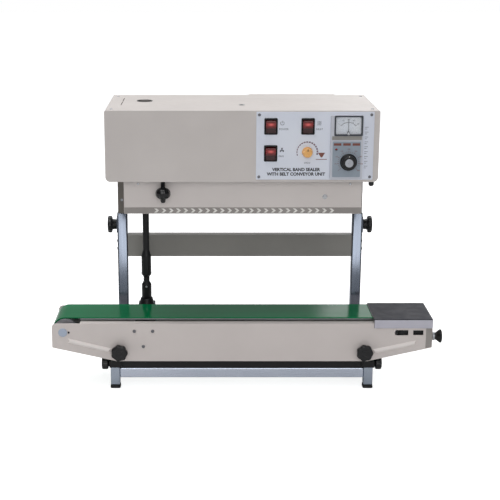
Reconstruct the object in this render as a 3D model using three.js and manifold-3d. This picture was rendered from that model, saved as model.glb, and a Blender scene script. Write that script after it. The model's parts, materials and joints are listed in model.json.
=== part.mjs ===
// Continuous band sealer, stand-up type: a sealing head on two telescopic posts over a flat belt conveyor.
// Millimetres, +Z up, +X along the belt's travel, +Y towards the back.
// All pieces are placed in the machine frame: X = 0 is midway between the two posts, Y = 0 the front face of
// the head and Z = 0 the floor. The exported group then stands that frame on the middle of the footprint.
import * as THREE from "three";
import { mergeVertices } from "three/addons/utils/BufferGeometryUtils.js";
import Module from "manifold-3d";

// ---- Driving dimensions ------------------------
const GAP = 0.3; // clearance left between pieces that touch
const SHEET = 2; // sheet metal thickness

// Stand: two square posts at the back, and a rail with a front leg on each side.
const STAND_X = 249; // middle plane of each rail
const FOOT_H = 7; // height of the rubber feet
const RAIL = { w: 18, top: 44, front: 4 }; // square side rail
// Outer tube of the telescopic post, and the flat boss that the clamp knob turns against.
const POST = { x: 244.5, w: 21, wall: 1.7, y: 215, top: 308, boss: 1.5, bossW: 18, bossH: 34 };
const LEG = { w: 17, bottom: 110 }; // inner tube, which slides in the post
const POST_KNOB_Z = 283;
const CROSS_TUBE = { front: 5, depth: 20, z0: 22, z1: 42 };
const CROSSBAR = { z0: 216, z1: 263 };

// Head: a sheet-metal box that holds the drive and the controls.
const HEAD = { x0: -260, x1: 254, depth: 232, z0: 415.7, z1: 550.5, cornerR: 9 };
const TOP_HOLE = { x: -191, y: 138, r: 13 };
const BASE = { halfW: 249, z0: 416, z1: 420 };
const REAR_BOX = { x0: 17, x1: 195, y1: 262, z0: 440, z1: 548.4 }; // bulge over the blower at the back
const GUARD = { halfW: 227.5, y: 25, depth: 22, z0: 348.5, z1: 415.4 };

// Control panel on the front of the head.
const PANEL = { x0: 23.5, x1: 243.2, z0: 420.5, z1: 548.7, t: 1.5 };
const ROCKERS = { power_rocker: [50.8, 521.5], heater_rocker: [119.8, 521.5], fan_rocker: [50.8, 470.6] };
const ROCKER = { w: 19, h: 24, tilt: 8, pivotY: 1 };
const SPEED_KNOB = { x: 119.5, z: 473, r: 10, len: 15 };
const CONTROLLER = { x: 192.3, z: 482.8, w: 60, h: 120, bezel: 6, body: 45 };
const METER = { x0: 171, x1: 219, z0: 507, z1: 540 };
const DIAL = { x: 196.3, z: 455.1, r: 16, len: 13 };

// Sealing line: two endless bands, one in front of the bag mouth and one behind it.
const SEAL_Y = 75;
const BAND = { t: 1, w: 15, z0: 367.5, slit: 0.35 };
const WHEEL_R = 22;
const WHEEL_X = 165; // drive wheels at -X, idler wheels at +X
const WHEEL_OFF = BAND.slit + BAND.t + GAP + WHEEL_R; // wheel axis to seal plane
const GEAR = { teeth: 24, addendum: 1.5, z0: 424, z1: 436 };
const PRESS = { x: 100, r: 20 };
const HEATER = { x0: -120, x1: -10 };
const COOLER = { x0: 10, x1: 70 };
const BLOCK_DEPTH = 18;
const PRESSURE_SCREW = { x: -152, y: 10 };
const FAN = { x: -60, y: 130, r: 38 };
const MOTOR = { r: 30, z0: 472, z1: 542 };

// Conveyor: a belt over rollers between two side plates.
const CONV = { halfL: 371, depth: 122, z0: 58, z1: 135, taperX: 246, taperZ: 86 };
const BELT = { top: 142.5, t: 2, y0: 17, y1: 105 };
const ROLLER_R = 23.7;
const AXIS_Z = BELT.top - BELT.t - GAP - ROLLER_R;
const LOWER_RUN_Z = AXIS_Z - ROLLER_R - GAP; // inner face of the belt's lower run
const IDLER_X = -346;
const TENSION_X = 312;
const DRIVE = { x: -193, r: 20, shaftY: 158 };
const DRIVE_Z = LOWER_RUN_Z + GAP + DRIVE.r;
const TABLE = { x0: 257, t: 1.5, skirtZ: 126, back: 108.5 };
const CARRIAGE = { bridge: TENSION_X + 34, end: TENSION_X + 44, halfH: 9 };
const BEARING = { r: 14, y: 3.5 };
const CORNER_R = 8;
const TENSION_SCREW = { y: 12, z: 106 };
const STAR = { x: 239, z: 79, r: 16.5 };
const SIDE_KNOB = { y: 14, z: 50.5, r: 13.5 };
const SCREW_R = 4;
const AXLE = { r: 5, bore: 5.3 }; // roller axles and the holes in which they turn

// ---- Materials ------------------------
const finish = (color, roughness, metalness) => new THREE.MeshStandardMaterial({ color, roughness, metalness });
const M = {
  paint: finish(0xbdb8b0, 0.45, 0.1),
  paintDark: finish(0x6f6a62, 0.5, 0.1),
  steel: finish(0xc4c6c8, 0.25, 1),
  brushed: finish(0x9c9ea0, 0.4, 1),
  aluminium: finish(0xb9bcc2, 0.4, 0.9),
  black: finish(0x1b1b1d, 0.45, 0),
  blackMetal: finish(0x232325, 0.4, 0.6),
  rubber: finish(0x151515, 0.8, 0),
  belt: finish(0x0f8a45, 0.3, 0),
  slate: finish(0x4a4a50, 0.4, 0.5),
  plate: finish(0xc9cdd6, 0.35, 0.7),
  bezel: finish(0xb4b4b6, 0.5, 0),
  red: finish(0xb0201a, 0.25, 0),
  cream: finish(0xd2a25a, 0.35, 0.3),
  teflon: finish(0x8a5a3a, 0.6, 0),
  brass: finish(0xb08d4a, 0.35, 1),
};

// ---- Shape helpers ------------------------
const wasm = await Module();
wasm.setup();

function toSolid(geometry) {
  const bare = geometry.index ? geometry.toNonIndexed() : geometry.clone();
  bare.deleteAttribute("normal");
  bare.deleteAttribute("uv");
  const merged = mergeVertices(bare, 1e-3);
  const vertProperties = merged.attributes.position.array;
  const triVerts = new Uint32Array(merged.index.array);
  return new wasm.Manifold(new wasm.Mesh({ numProp: 3, vertProperties, triVerts }));
}

function toGeometry(solid) {
  const mesh = solid.getMesh();
  const geometry = new THREE.BufferGeometry();
  geometry.setAttribute("position", new THREE.BufferAttribute(new Float32Array(mesh.vertProperties), 3));
  geometry.setIndex(new THREE.BufferAttribute(new Uint32Array(mesh.triVerts), 1));
  const flat = geometry.toNonIndexed();
  flat.computeVertexNormals();
  return flat;
}

const join = (first, ...rest) => toGeometry(rest.reduce((all, g) => all.add(toSolid(g)), toSolid(first)));
const cut = (first, ...rest) => toGeometry(rest.reduce((left, g) => left.subtract(toSolid(g)), toSolid(first)));

// A box given by its ranges along X, Y and Z.
function block([x0, x1], [y0, y1], [z0, z1]) {
  const box = new THREE.BoxGeometry(x1 - x0, y1 - y0, z1 - z0);
  return box.translate((x0 + x1) / 2, (y0 + y1) / 2, (z0 + z1) / 2);
}

// Turns a shape whose own axis is +Y so that it points along +X, +Y or +Z.
function aim(geometry, axis) {
  if (axis === "x") geometry.rotateZ(-Math.PI / 2);
  if (axis === "z") geometry.rotateX(Math.PI / 2);
  return geometry;
}

// A round bar along an axis through (x, y, z), from a to b along that axis.
function bar(axis, [x, y, z], r, a, b, sides = 20, rEnd = r) {
  const cylinder = new THREE.CylinderGeometry(rEnd, r, b - a, sides).translate(0, (a + b) / 2, 0);
  return aim(cylinder, axis).translate(x, y, z);
}

// A turned piece: its profile lists [radius, place along the axis] from one end of the axis to the other.
function turned(axis, [x, y, z], profile, sides = 24) {
  const points = profile.map(([r, t]) => new THREE.Vector2(r, t));
  return aim(new THREE.LatheGeometry(points, sides), axis).translate(x, y, z);
}

// An outline pushed along an axis from a to b. Across X the outline is (Y, Z), across Y it is (X, Z).
function pushed(axis, shape, a, b, curveSegments = 6) {
  const geometry = new THREE.ExtrudeGeometry(shape, { depth: b - a, bevelEnabled: false, curveSegments });
  const X = new THREE.Vector3(1, 0, 0);
  const Y = new THREE.Vector3(0, 1, 0);
  const Z = new THREE.Vector3(0, 0, 1);
  const turn = new THREE.Matrix4();
  if (axis === "x") turn.makeBasis(Y, Z, X).setPosition(a, 0, 0);
  if (axis === "y") turn.makeBasis(X, Z, Y.clone().negate()).setPosition(0, b, 0);
  if (axis === "z") turn.setPosition(0, 0, a);
  return geometry.applyMatrix4(turn);
}

function outline(points) {
  return new THREE.Shape(points.map(([u, v]) => new THREE.Vector2(u, v)));
}

// A rectangle with one radius on its lower corners and another on its upper ones.
function roundedRect(u0, u1, v0, v1, rLow, rHigh = rLow) {
  const s = new THREE.Shape();
  s.moveTo(u0 + rLow, v0);
  s.lineTo(u1 - rLow, v0);
  s.absarc(u1 - rLow, v0 + rLow, rLow, -Math.PI / 2, 0);
  s.lineTo(u1, v1 - rHigh);
  s.absarc(u1 - rHigh, v1 - rHigh, rHigh, 0, Math.PI / 2);
  s.lineTo(u0 + rHigh, v1);
  s.absarc(u0 + rHigh, v1 - rHigh, rHigh, Math.PI / 2, Math.PI);
  s.lineTo(u0, v0 + rLow);
  s.absarc(u0 + rLow, v0 + rLow, rLow, Math.PI, 1.5 * Math.PI);
  return s;
}

// The outline of an endless band round two equal wheels, as the space inside a given radius.
function stadium(u0, u1, v, r) {
  const s = new THREE.Shape();
  s.moveTo(u0, v - r);
  s.lineTo(u1, v - r);
  s.absarc(u1, v, r, -Math.PI / 2, Math.PI / 2);
  s.lineTo(u0, v + r);
  s.absarc(u0, v, r, Math.PI / 2, 1.5 * Math.PI);
  return s;
}

function loop(u0, u1, v, rIn, rOut) {
  const s = stadium(u0, u1, v, rOut);
  s.holes.push(stadium(u0, u1, v, rIn));
  return s;
}

// The grip of a star knob: round lobes on a round body.
function starOutline(r, lobes, depth) {
  const steps = lobes * 6;
  const points = Array.from({ length: steps }, (_, i) => {
    const a = (i / steps) * 2 * Math.PI;
    const radius = r - (depth * (1 - Math.cos(lobes * a))) / 2;
    return [radius * Math.cos(a), radius * Math.sin(a)];
  });
  return outline(points);
}

// ---- Assembly helpers ------------------------
const machine = new THREE.Group();

function add(name, geometry, material) {
  const mesh = new THREE.Mesh(geometry, material);
  mesh.name = name;
  machine.add(mesh);
}

const SIDES = { left: -1, right: 1 };
const ROWS = { front: -1, rear: 1 };

// Orders a pair of X values so that a box can be mirrored to the left side.
const span = (side, a, b) => (side < 0 ? [-b, -a] : [a, b]);

// ---- Stand ------------------------
function post(side) {
  const x = side * POST.x;
  const half = POST.w / 2;
  const bore = half - POST.wall;
  const y = [POST.y - half, POST.y + half];
  const tube = block([x - half, x + half], y, [FOOT_H, POST.top]);
  const hollow = block([x - bore, x + bore], [POST.y - bore, POST.y + bore], [FOOT_H - 1, POST.top + 1]);
  const bossX = span(side, POST.x + half - 1, POST.x + half + POST.boss);
  const bossY = [POST.y - POST.bossW / 2, POST.y + POST.bossW / 2];
  const bossZ = [POST_KNOB_Z - POST.bossH / 2, POST_KNOB_Z + POST.bossH / 2];
  const boss = block(bossX, bossY, bossZ);
  const holeX = span(side, POST.x + 5, POST.x + half + 5);
  const hole = bar("x", [0, POST.y, POST_KNOB_Z], SCREW_R + GAP, ...holeX, 16);
  return cut(join(tube, boss), hollow, hole);
}

// A clamp knob with its screw along X: the screw reaches in to x0, the grip starts at x1.
function clampKnob(side, x0, x1, y, z, gripR, hubLen, gripLen) {
  const profile = [
    [0, x0],
    [SCREW_R, x0],
    [SCREW_R, x1],
    [gripR * 0.52, x1],
    [gripR * 0.55, x1 + hubLen],
    [gripR * 0.94, x1 + hubLen + 0.6],
    [gripR, x1 + hubLen + 2.5],
    [gripR, x1 + hubLen + gripLen - 2],
    [gripR * 0.86, x1 + hubLen + gripLen],
    [0, x1 + hubLen + gripLen],
  ];
  const knob = turned("x", [0, 0, 0], profile, 24);
  if (side < 0) knob.rotateZ(Math.PI);
  return knob.translate(0, y, z);
}

function sideFrame(side) {
  const x = span(side, STAND_X - RAIL.w / 2, STAND_X + RAIL.w / 2);
  const rail = block(x, [RAIL.front, POST.y - POST.w / 2 - GAP], [RAIL.top - RAIL.w, RAIL.top]);
  const leg = block(x, [RAIL.front, RAIL.front + RAIL.w], [FOOT_H, RAIL.top - 1]);
  return join(rail, leg);
}

function foot(x, y, w) {
  const shape = roundedRect(x - w / 2, x + w / 2, y - w / 2, y + w / 2, 3);
  return pushed("z", shape, 0, FOOT_H - GAP, 3);
}

for (const [word, side] of Object.entries(SIDES)) {
  const x = side * STAND_X;
  const postX = side * POST.x;
  add(`${word}_post`, post(side), M.steel);
  add(`${word}_side_frame`, sideFrame(side), M.brushed);
  add(`front_${word}_foot`, foot(x, RAIL.front + RAIL.w / 2, RAIL.w + 2), M.rubber);
  add(`rear_${word}_foot`, foot(postX, POST.y, POST.w + 2), M.rubber);
  const screwEnd = POST.x + LEG.w / 2 + GAP;
  const hubStart = POST.x + POST.w / 2 + POST.boss + GAP;
  add(`${word}_post_knob`, clampKnob(side, screwEnd, hubStart, POST.y, POST_KNOB_Z, 18, 8.5, 9.5), M.black);
}
{
  const inner = STAND_X - RAIL.w / 2 - GAP;
  const y = [CROSS_TUBE.front, CROSS_TUBE.front + CROSS_TUBE.depth - 1];
  add("front_cross_tube", block([-inner, inner], y, [CROSS_TUBE.z0, CROSS_TUBE.z1]), M.steel);
  const barEnd = POST.x - POST.w / 2 - GAP;
  const barY = [POST.y - POST.w / 2, POST.y + POST.w / 2];
  add("rear_crossbar", block([-barEnd, barEnd], barY, [CROSSBAR.z0, CROSSBAR.z1]), M.paintDark);
}

// ---- Head: casing and what carries it ------------------------
function headCasing() {
  const { x0, x1, depth, z0, z1, cornerR } = HEAD;
  const outer = pushed("y", roundedRect(x0, x1, z0, z1, cornerR, 3), 0, depth);
  const room = roundedRect(x0 + SHEET, x1 - SHEET, z0 - 4, z1 - SHEET, 2, 1.5);
  const inside = pushed("y", room, SHEET, depth + 1);
  const rockers = Object.values(ROCKERS).map(([x, z]) =>
    block([x - 12, x + 12], [-1, SHEET + 1], [z - 15.2, z + 15.2]),
  );
  const body = CONTROLLER.w / 2 - 2;
  const tall = CONTROLLER.h / 2 - 4;
  const window = block(
    [CONTROLLER.x - body, CONTROLLER.x + body],
    [-1, SHEET + 1],
    [CONTROLLER.z - tall, CONTROLLER.z + tall],
  );
  const topHole = bar("z", [TOP_HOLE.x, TOP_HOLE.y, 0], TOP_HOLE.r, z1 - 5, z1 + 1, 24);
  return cut(outer, inside, window, topHole, ...rockers);
}

function basePlate() {
  const { halfW, z0, z1 } = BASE;
  const sheet = block([-halfW, halfW], [SHEET + GAP, HEAD.depth - SHEET - GAP], [z0, z1]);
  const hole = (x, y, r) => bar("z", [x, y, 0], r, z0 - 1, z1 + 1, 16);
  const axles = [-WHEEL_X, WHEEL_X].flatMap((x) => Object.values(ROWS).map((row) => hole(x, axleY(row), 6.4)));
  const rollers = Object.values(ROWS).map((row) => hole(PRESS.x, pressY(row), 5.4));
  const shaft = hole(DRIVE.x, DRIVE.shaftY, 10.6);
  const screw = hole(PRESSURE_SCREW.x, PRESSURE_SCREW.y, 5);
  const breeze = hole(FAN.x, FAN.y, FAN.r - 3);
  return cut(sheet, ...axles, ...rollers, shaft, screw, breeze);
}

// The back panel, pressed out into a hollow box where the blower and the motor need room.
function rearCover() {
  const edge = SHEET + GAP;
  const top = HEAD.z1 - edge;
  const face = roundedRect(HEAD.x0 + edge, HEAD.x1 - edge, HEAD.z0, top, HEAD.cornerR - SHEET, SHEET);
  const panel = pushed("y", face, HEAD.depth - SHEET, HEAD.depth);
  const { x0, x1, y1, z0, z1 } = REAR_BOX;
  const bulge = block([x0, x1], [HEAD.depth + GAP, y1], [z0, z1]);
  const neck = block([x0, x1], [HEAD.depth - 1, y1 - 1], [z0, HEAD.z1 - SHEET - 1]);
  const room = block(
    [x0 + SHEET, x1 - SHEET],
    [HEAD.depth - SHEET - 1, y1 - SHEET],
    [z0 + SHEET, HEAD.z1 - 2 * SHEET],
  );
  return cut(join(panel, bulge, neck), room);
}

function guard() {
  const { halfW, y, depth, z0, z1 } = GUARD;
  const outer = block([-halfW, halfW], [y, y + depth], [z0, z1]);
  const inside = block([-halfW + 1.5, halfW - 1.5], [y + 1.5, y + depth + 1], [z0 - 1, z1 + 1]);
  const lip = block([-halfW, halfW], [y, y + 6], [z0, z0 + 1.5]);
  return join(cut(outer, inside), lip);
}

add("head_casing", headCasing(), M.paint);
add("seal_guard", guard(), M.paint);
add("rear_cover", rearCover(), M.paint);
for (const [word, side] of Object.entries(SIDES)) {
  const x = span(side, POST.x - LEG.w / 2, POST.x + LEG.w / 2);
  const y = [POST.y - LEG.w / 2, POST.y + LEG.w / 2];
  add(`${word}_inner_leg`, block(x, y, [LEG.bottom, HEAD.z0 - GAP]), M.paintDark);
}

// ---- Control panel ------------------------
function controlPanel() {
  const { x0, x1, z0, z1, t } = PANEL;
  const sheet = pushed("y", roundedRect(x0, x1, z0, z1, 1.5), -t - GAP, -GAP, 2);
  const holes = Object.values(ROCKERS).map(([x, z]) => block([x - 11, x + 11], [-3, 1], [z - 14.2, z + 14.2]));
  const body = CONTROLLER.w / 2 - 2.5;
  const tall = CONTROLLER.h / 2 - 4.5;
  const window = block(
    [CONTROLLER.x - body, CONTROLLER.x + body],
    [-3, 1],
    [CONTROLLER.z - tall, CONTROLLER.z + tall],
  );
  return cut(sheet, window, ...holes);
}

const PANEL_FACE = -PANEL.t - GAP;
const BEZEL_FACE = PANEL_FACE - GAP - CONTROLLER.bezel;

function controller() {
  const { x, z, w, h, bezel, body } = CONTROLLER;
  const frame = roundedRect(x - w / 2, x + w / 2, z - h / 2, z + h / 2, 2);
  const front = pushed("y", frame, BEZEL_FACE, BEZEL_FACE + bezel, 2);
  const back = block([x - w / 2 + 3, x + w / 2 - 3], [BEZEL_FACE + 2, body], [z - h / 2 + 5, z + h / 2 - 5]);
  const meter = block([METER.x0, METER.x1], [BEZEL_FACE - 1, BEZEL_FACE + 7], [METER.z0, METER.z1]);
  const spindle = bar("y", [DIAL.x, 0, DIAL.z], 3.4, BEZEL_FACE - 1, BEZEL_FACE + 12, 12);
  return cut(join(front, back), meter, spindle);
}

// A rocker seen from its side: two flat halves that meet in a shallow valley, over a round pivot.
function rocker([x, z]) {
  const side = outline([
    [-7, -ROCKER.h / 2],
    [-5.2, 0],
    [-7, ROCKER.h / 2],
    [0, ROCKER.h / 2],
    [5, 4],
    [5, -4],
    [0, -ROCKER.h / 2],
  ].reverse());
  const key = pushed("x", side, -ROCKER.w / 2, ROCKER.w / 2);
  key.translate(0, -ROCKER.pivotY, 0).rotateX(THREE.MathUtils.degToRad(ROCKER.tilt));
  return key.translate(x, ROCKER.pivotY, z);
}

function needle() {
  const cx = (METER.x0 + METER.x1) / 2;
  const pivotZ = METER.z0 + 4;
  const y = [BEZEL_FACE + 3, BEZEL_FACE + 4];
  const hub = bar("y", [cx, 0, pivotZ], 2.2, y[0] - 0.5, y[1] + 0.5, 12);
  return join(hub, block([cx - 0.5, cx + 0.5], y, [pivotZ, METER.z1 - 5]));
}

function dial() {
  const y0 = BEZEL_FACE - GAP;
  const profile = [
    [0, y0 - DIAL.len],
    [DIAL.r * 0.75, y0 - DIAL.len],
    [DIAL.r * 0.84, y0 - DIAL.len + 1.5],
    [DIAL.r * 0.9, y0 - 4],
    [DIAL.r, y0 - 3],
    [DIAL.r, y0],
    [3, y0],
    [3, y0 + 11],
    [0, y0 + 11],
  ];
  return turned("y", [DIAL.x, 0, DIAL.z], profile, 28);
}

function speedKnob() {
  const y0 = PANEL_FACE - GAP;
  const { x, z, r, len } = SPEED_KNOB;
  const profile = [
    [0, y0 - len],
    [r * 0.78, y0 - len],
    [r * 0.86, y0 - len + 1],
    [r, y0 - 3],
    [r, y0],
    [0, y0],
  ];
  return turned("y", [x, 0, z], profile, 24);
}

// The thumb screw under the front of the head: a stem with a rounded grip and a short nose.
function pressureScrew() {
  const { x, y } = PRESSURE_SCREW;
  const profile = [
    [0, 373.5],
    [3.6, 373.5],
    [5, 377],
    [5, 381],
    [10.5, 382],
    [14.3, 387],
    [14.3, 395],
    [10, 401.5],
    [4.6, 402.5],
    [4.6, 440],
    [0, 440],
  ];
  return turned("z", [x, y, 0], profile, 20);
}

add("control_panel", controlPanel(), M.plate);
add("temperature_controller", controller(), M.bezel);
for (const [name, place] of Object.entries(ROCKERS)) add(name, rocker(place), M.red);
add("meter_needle", needle(), M.black);
add("temperature_dial", dial(), M.black);
add("speed_knob", speedKnob(), M.cream);
add("pressure_screw", pressureScrew(), M.black);

// ---- Sealing line ------------------------
function axleY(row) {
  return SEAL_Y + row * WHEEL_OFF;
}

function pressY(row) {
  return SEAL_Y + row * (BAND.slit + BAND.t + GAP + PRESS.r);
}

// A spur gear with straight-sided teeth, turned by a share of one tooth so that two of them mesh.
function gearOutline(teeth, pitchR, addendum, shift) {
  const corners = [
    [-0.31, pitchR - addendum - 0.5],
    [-0.13, pitchR + addendum],
    [0.13, pitchR + addendum],
    [0.31, pitchR - addendum - 0.5],
  ];
  const points = Array.from({ length: teeth }, (_, i) =>
    corners.map(([t, r]) => {
      const a = ((i + t + shift) / teeth) * 2 * Math.PI;
      return [r * Math.cos(a), r * Math.sin(a)];
    }),
  ).flat();
  return outline(points);
}

const WHEEL = { z0: BAND.z0 - 1.5, z1: BAND.z0 + BAND.w + 1.5 };
const AXLE_TOP = 470;

function driveWheel(row) {
  const at = [-WHEEL_X, axleY(row), 0];
  const wheel = bar("z", at, WHEEL_R, WHEEL.z0, WHEEL.z1, 32);
  const axle = bar("z", at, 6, WHEEL.z0, row > 0 ? AXLE_TOP : GEAR.z1 + 6, 16);
  // The two rows face each other along Y, a quarter turn from where the outline starts.
  const shift = row < 0 ? GEAR.teeth / 4 : -GEAR.teeth / 4 + 0.5;
  const teeth = gearOutline(GEAR.teeth, WHEEL_OFF, GEAR.addendum, shift);
  const gear = pushed("z", teeth, GEAR.z0, GEAR.z1).translate(at[0], at[1], 0);
  return join(wheel, axle, gear);
}

function idlerWheel(row) {
  const at = [WHEEL_X, axleY(row), 0];
  return join(bar("z", at, WHEEL_R, WHEEL.z0, WHEEL.z1, 32), bar("z", at, 6, WHEEL.z0, GEAR.z1, 16));
}

function pressRoller(row) {
  const at = [PRESS.x, pressY(row), 0];
  return join(bar("z", at, PRESS.r, WHEEL.z0, WHEEL.z1, 28), bar("z", at, 5, WHEEL.z0, GEAR.z1, 16));
}

// A block that holds one run of the band against the bag mouth, hung from the base plate by two stems.
function sealBlock(row, { x0, x1 }) {
  const near = SEAL_Y + row * (BAND.slit + BAND.t + GAP);
  const far = near + row * BLOCK_DEPTH;
  const y = row > 0 ? [near, far] : [far, near];
  const body = block([x0, x1], y, [WHEEL.z0, WHEEL.z1]);
  const stems = [x0 + 10, x1 - 10].map((x) =>
    bar("z", [x, (near + far) / 2, 0], 4, WHEEL.z1 - 2, BASE.z0 - GAP, 12),
  );
  return join(body, ...stems);
}

for (const [word, row] of Object.entries(ROWS)) {
  add(`${word}_drive_wheel`, driveWheel(row), M.aluminium);
  add(`${word}_idler_wheel`, idlerWheel(row), M.aluminium);
  add(`${word}_pressure_roller`, pressRoller(row), M.rubber);
  add(`${word}_heater_block`, sealBlock(row, HEATER), M.brass);
  add(`${word}_cooling_block`, sealBlock(row, COOLER), M.aluminium);
  const bandShape = loop(-WHEEL_X, WHEEL_X, axleY(row), WHEEL_R + GAP, WHEEL_R + GAP + BAND.t);
  add(`${word}_seal_band`, pushed("z", bandShape, BAND.z0, BAND.z0 + BAND.w, 12), M.teflon);
}

// ---- Drive inside the head ------------------------
function gearMotor() {
  const at = [-WHEEL_X, axleY(1), 0];
  const gearboxOutline = roundedRect(at[0] - 31, at[0] + 31, at[1] - 31, at[1] + 31, 6);
  const gearbox = pushed("z", gearboxOutline, MOTOR.z0, MOTOR.z0 + 26);
  return join(gearbox, bar("z", at, MOTOR.r, MOTOR.z0 + 20, MOTOR.z1, 28));
}

// A radial blower wheel on a hub, over the opening in the base plate.
function coolingFan() {
  const at = [FAN.x, FAN.y, 0];
  const blades = Array.from({ length: 7 }, (_, i) =>
    block([8, FAN.r], [-1, 1], [425, 443]).rotateZ((i / 7) * 2 * Math.PI).translate(FAN.x, FAN.y, 0),
  );
  const disc = bar("z", at, FAN.r, 441, 444, 28);
  return join(disc, bar("z", at, 11, 425, 452, 20), ...blades);
}

// The outer half of the telescopic shaft that takes the drive down to the conveyor.
function driveSleeve() {
  const profile = [
    [7, 350],
    [9.5, 350],
    [9.5, 476],
    [7, 476],
    [7, 350],
  ];
  return turned("z", [DRIVE.x, DRIVE.shaftY, 0], profile, 20);
}

// The inner half, with the upper fork of the universal joint at its foot.
function driveRod() {
  const profile = [
    [0, 187],
    [6, 187],
    [10, 190],
    [10, 231],
    [6.6, 243],
    [6.6, 420],
    [0, 420],
  ];
  return turned("z", [DRIVE.x, DRIVE.shaftY, 0], profile, 20);
}

// The lower fork, on the input of the conveyor's gearbox.
function lowerYoke() {
  const profile = [
    [0, 141.5],
    [10, 141.5],
    [10, 171],
    [6, 176],
    [6, 186],
    [0, 186],
  ];
  return turned("z", [DRIVE.x, DRIVE.shaftY, 0], profile, 20);
}

add("head_base_plate", basePlate(), M.brushed);
add("gear_motor", gearMotor(), M.blackMetal);
add("cooling_fan", coolingFan(), M.black);
add("upper_drive_sleeve", driveSleeve(), M.blackMetal);
add("drive_rod", driveRod(), M.blackMetal);
add("lower_drive_yoke", lowerYoke(), M.blackMetal);

// ---- Conveyor ------------------------
// The side of the conveyor: square in the middle, rising towards both ends, with a rounded upper corner at the
// idler end.
function sideOutline() {
  const { halfL, z0, z1, taperX, taperZ } = CONV;
  const s = new THREE.Shape();
  s.moveTo(-taperX, z0);
  s.lineTo(taperX, z0);
  s.lineTo(halfL, taperZ);
  s.lineTo(halfL, z1);
  s.lineTo(-halfL + CORNER_R, z1);
  s.absarc(-halfL + CORNER_R, z1 - CORNER_R, CORNER_R, Math.PI / 2, Math.PI);
  s.lineTo(-halfL, taperZ);
  s.closePath();
  return s;
}

// One side of the conveyor. The front one closes over the drive shaft, which runs in a bearing behind the sheet;
// it also carries the end plate and the bearing of the tension screw.
function sidePlate(row) {
  const face = row < 0 ? [0, SHEET] : [CONV.depth - SHEET, CONV.depth];
  const sheet = pushed("y", sideOutline(), ...face, 5);
  const flangeY = row < 0 ? [1, BELT.y0 - 1.2] : [BELT.y1 + 1.2, CONV.depth - 1];
  const flangeEnd = row < 0 ? CONV.halfL - 1 : CONV.halfL - SHEET - GAP;
  const flange = block([-316, flangeEnd], flangeY, [CONV.z1 - SHEET, CONV.z1]);
  const hole = (x, z, r) => bar("y", [x, 0, z], r, face[0] - 1, face[1] + 1, 16);
  const slotX = [TENSION_X - 13, TENSION_X + 12];
  const slot = block(slotX, [face[0] - 1, face[1] + 1], [AXIS_Z - 5.4, AXIS_Z + 5.4]);
  const plate = cut(join(sheet, flange), slot, hole(IDLER_X, AXIS_Z, AXLE.bore));
  if (row > 0) return cut(plate, hole(DRIVE.x, DRIVE_Z, AXLE.bore));
  const stars = [-STAR.x, STAR.x].map((x) => hole(x, STAR.z, SCREW_R + GAP));
  const housing = bar("y", [DRIVE.x, 0, DRIVE_Z], BEARING.r, SHEET - GAP, BEARING.y, 24);
  const bore = bar("y", [DRIVE.x, 0, DRIVE_Z], AXLE.bore, SHEET, BEARING.y + 1, 16);
  const end = block([CONV.halfL - SHEET, CONV.halfL], [1, CONV.depth - SHEET - GAP], [CONV.taperZ, CONV.z1]);
  const axis = [0, TENSION_SCREW.y, TENSION_SCREW.z];
  const screw = bar("x", axis, SCREW_R + GAP, CONV.halfL - 5, CONV.halfL + 1, 16);
  return cut(join(plate, end, housing), screw, bore, ...stars);
}

function conveyorBelt() {
  const shape = loop(IDLER_X, TENSION_X, AXIS_Z, ROLLER_R + GAP, ROLLER_R + GAP + BELT.t);
  return pushed("y", shape, BELT.y0, BELT.y1, 14);
}

function bed() {
  const top = BELT.top - BELT.t - GAP;
  const shape = outline([
    [22, 135.4],
    [24, 135.4],
    [24, top - 2],
    [98, top - 2],
    [98, 135.4],
    [100, 135.4],
    [100, top],
    [22, top],
  ]);
  return pushed("x", shape, IDLER_X + 28, TENSION_X - 40);
}

// A roller with its own axle; the axle ends run in the side plates. Its front end may stop short of the sheet.
function roller(x, z, r, axleStart = GAP) {
  const body = bar("y", [x, 0, z], r, BELT.y0 + 1, BELT.y1 - 1, 32);
  return join(body, bar("y", [x, 0, z], AXLE.r, axleStart, CONV.depth - GAP, 16));
}

// The tension roller is bored, and turns on the axle of its carriage.
function tensionRoller() {
  const body = bar("y", [TENSION_X, 0, AXIS_Z], ROLLER_R, BELT.y0 + 1, BELT.y1 - 1, 32);
  return cut(body, bar("y", [TENSION_X, 0, AXIS_Z], AXLE.bore + 0.1, BELT.y0, BELT.y1, 16));
}

function tensionCarriage() {
  const height = [AXIS_Z - CARRIAGE.halfH, AXIS_Z + CARRIAGE.halfH];
  const axle = bar("y", [TENSION_X, 0, AXIS_Z], AXLE.r, GAP, CONV.depth - GAP, 16);
  const arms = [
    [6, 10],
    [CONV.depth - 10, CONV.depth - 6],
  ].map((y) => block([TENSION_X - 8, CARRIAGE.end], y, height));
  const bridge = block([CARRIAGE.bridge, CARRIAGE.end], [6, CONV.depth - 6], height);
  const { y, z } = TENSION_SCREW;
  const lug = block([CARRIAGE.bridge, CARRIAGE.end], [y - 6, y + 9], [z - 8, z + 8]);
  const nut = bar("x", [0, y, z], SCREW_R + GAP, CARRIAGE.bridge - 4, CARRIAGE.end + 4, 16);
  return cut(join(axle, ...arms, bridge, lug), nut);
}

function tensionKnob() {
  const x0 = CONV.halfL + 2.4;
  const profile = [
    [0, TENSION_X + 31],
    [SCREW_R, TENSION_X + 31],
    [SCREW_R, x0],
    [7, x0],
    [7.5, x0 + 7],
    [13.3, x0 + 14],
    [13.3, x0 + 16],
    [8, x0 + 18],
    [0, x0 + 18.5],
  ];
  return turned("x", [0, TENSION_SCREW.y, TENSION_SCREW.z], profile, 20);
}

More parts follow.
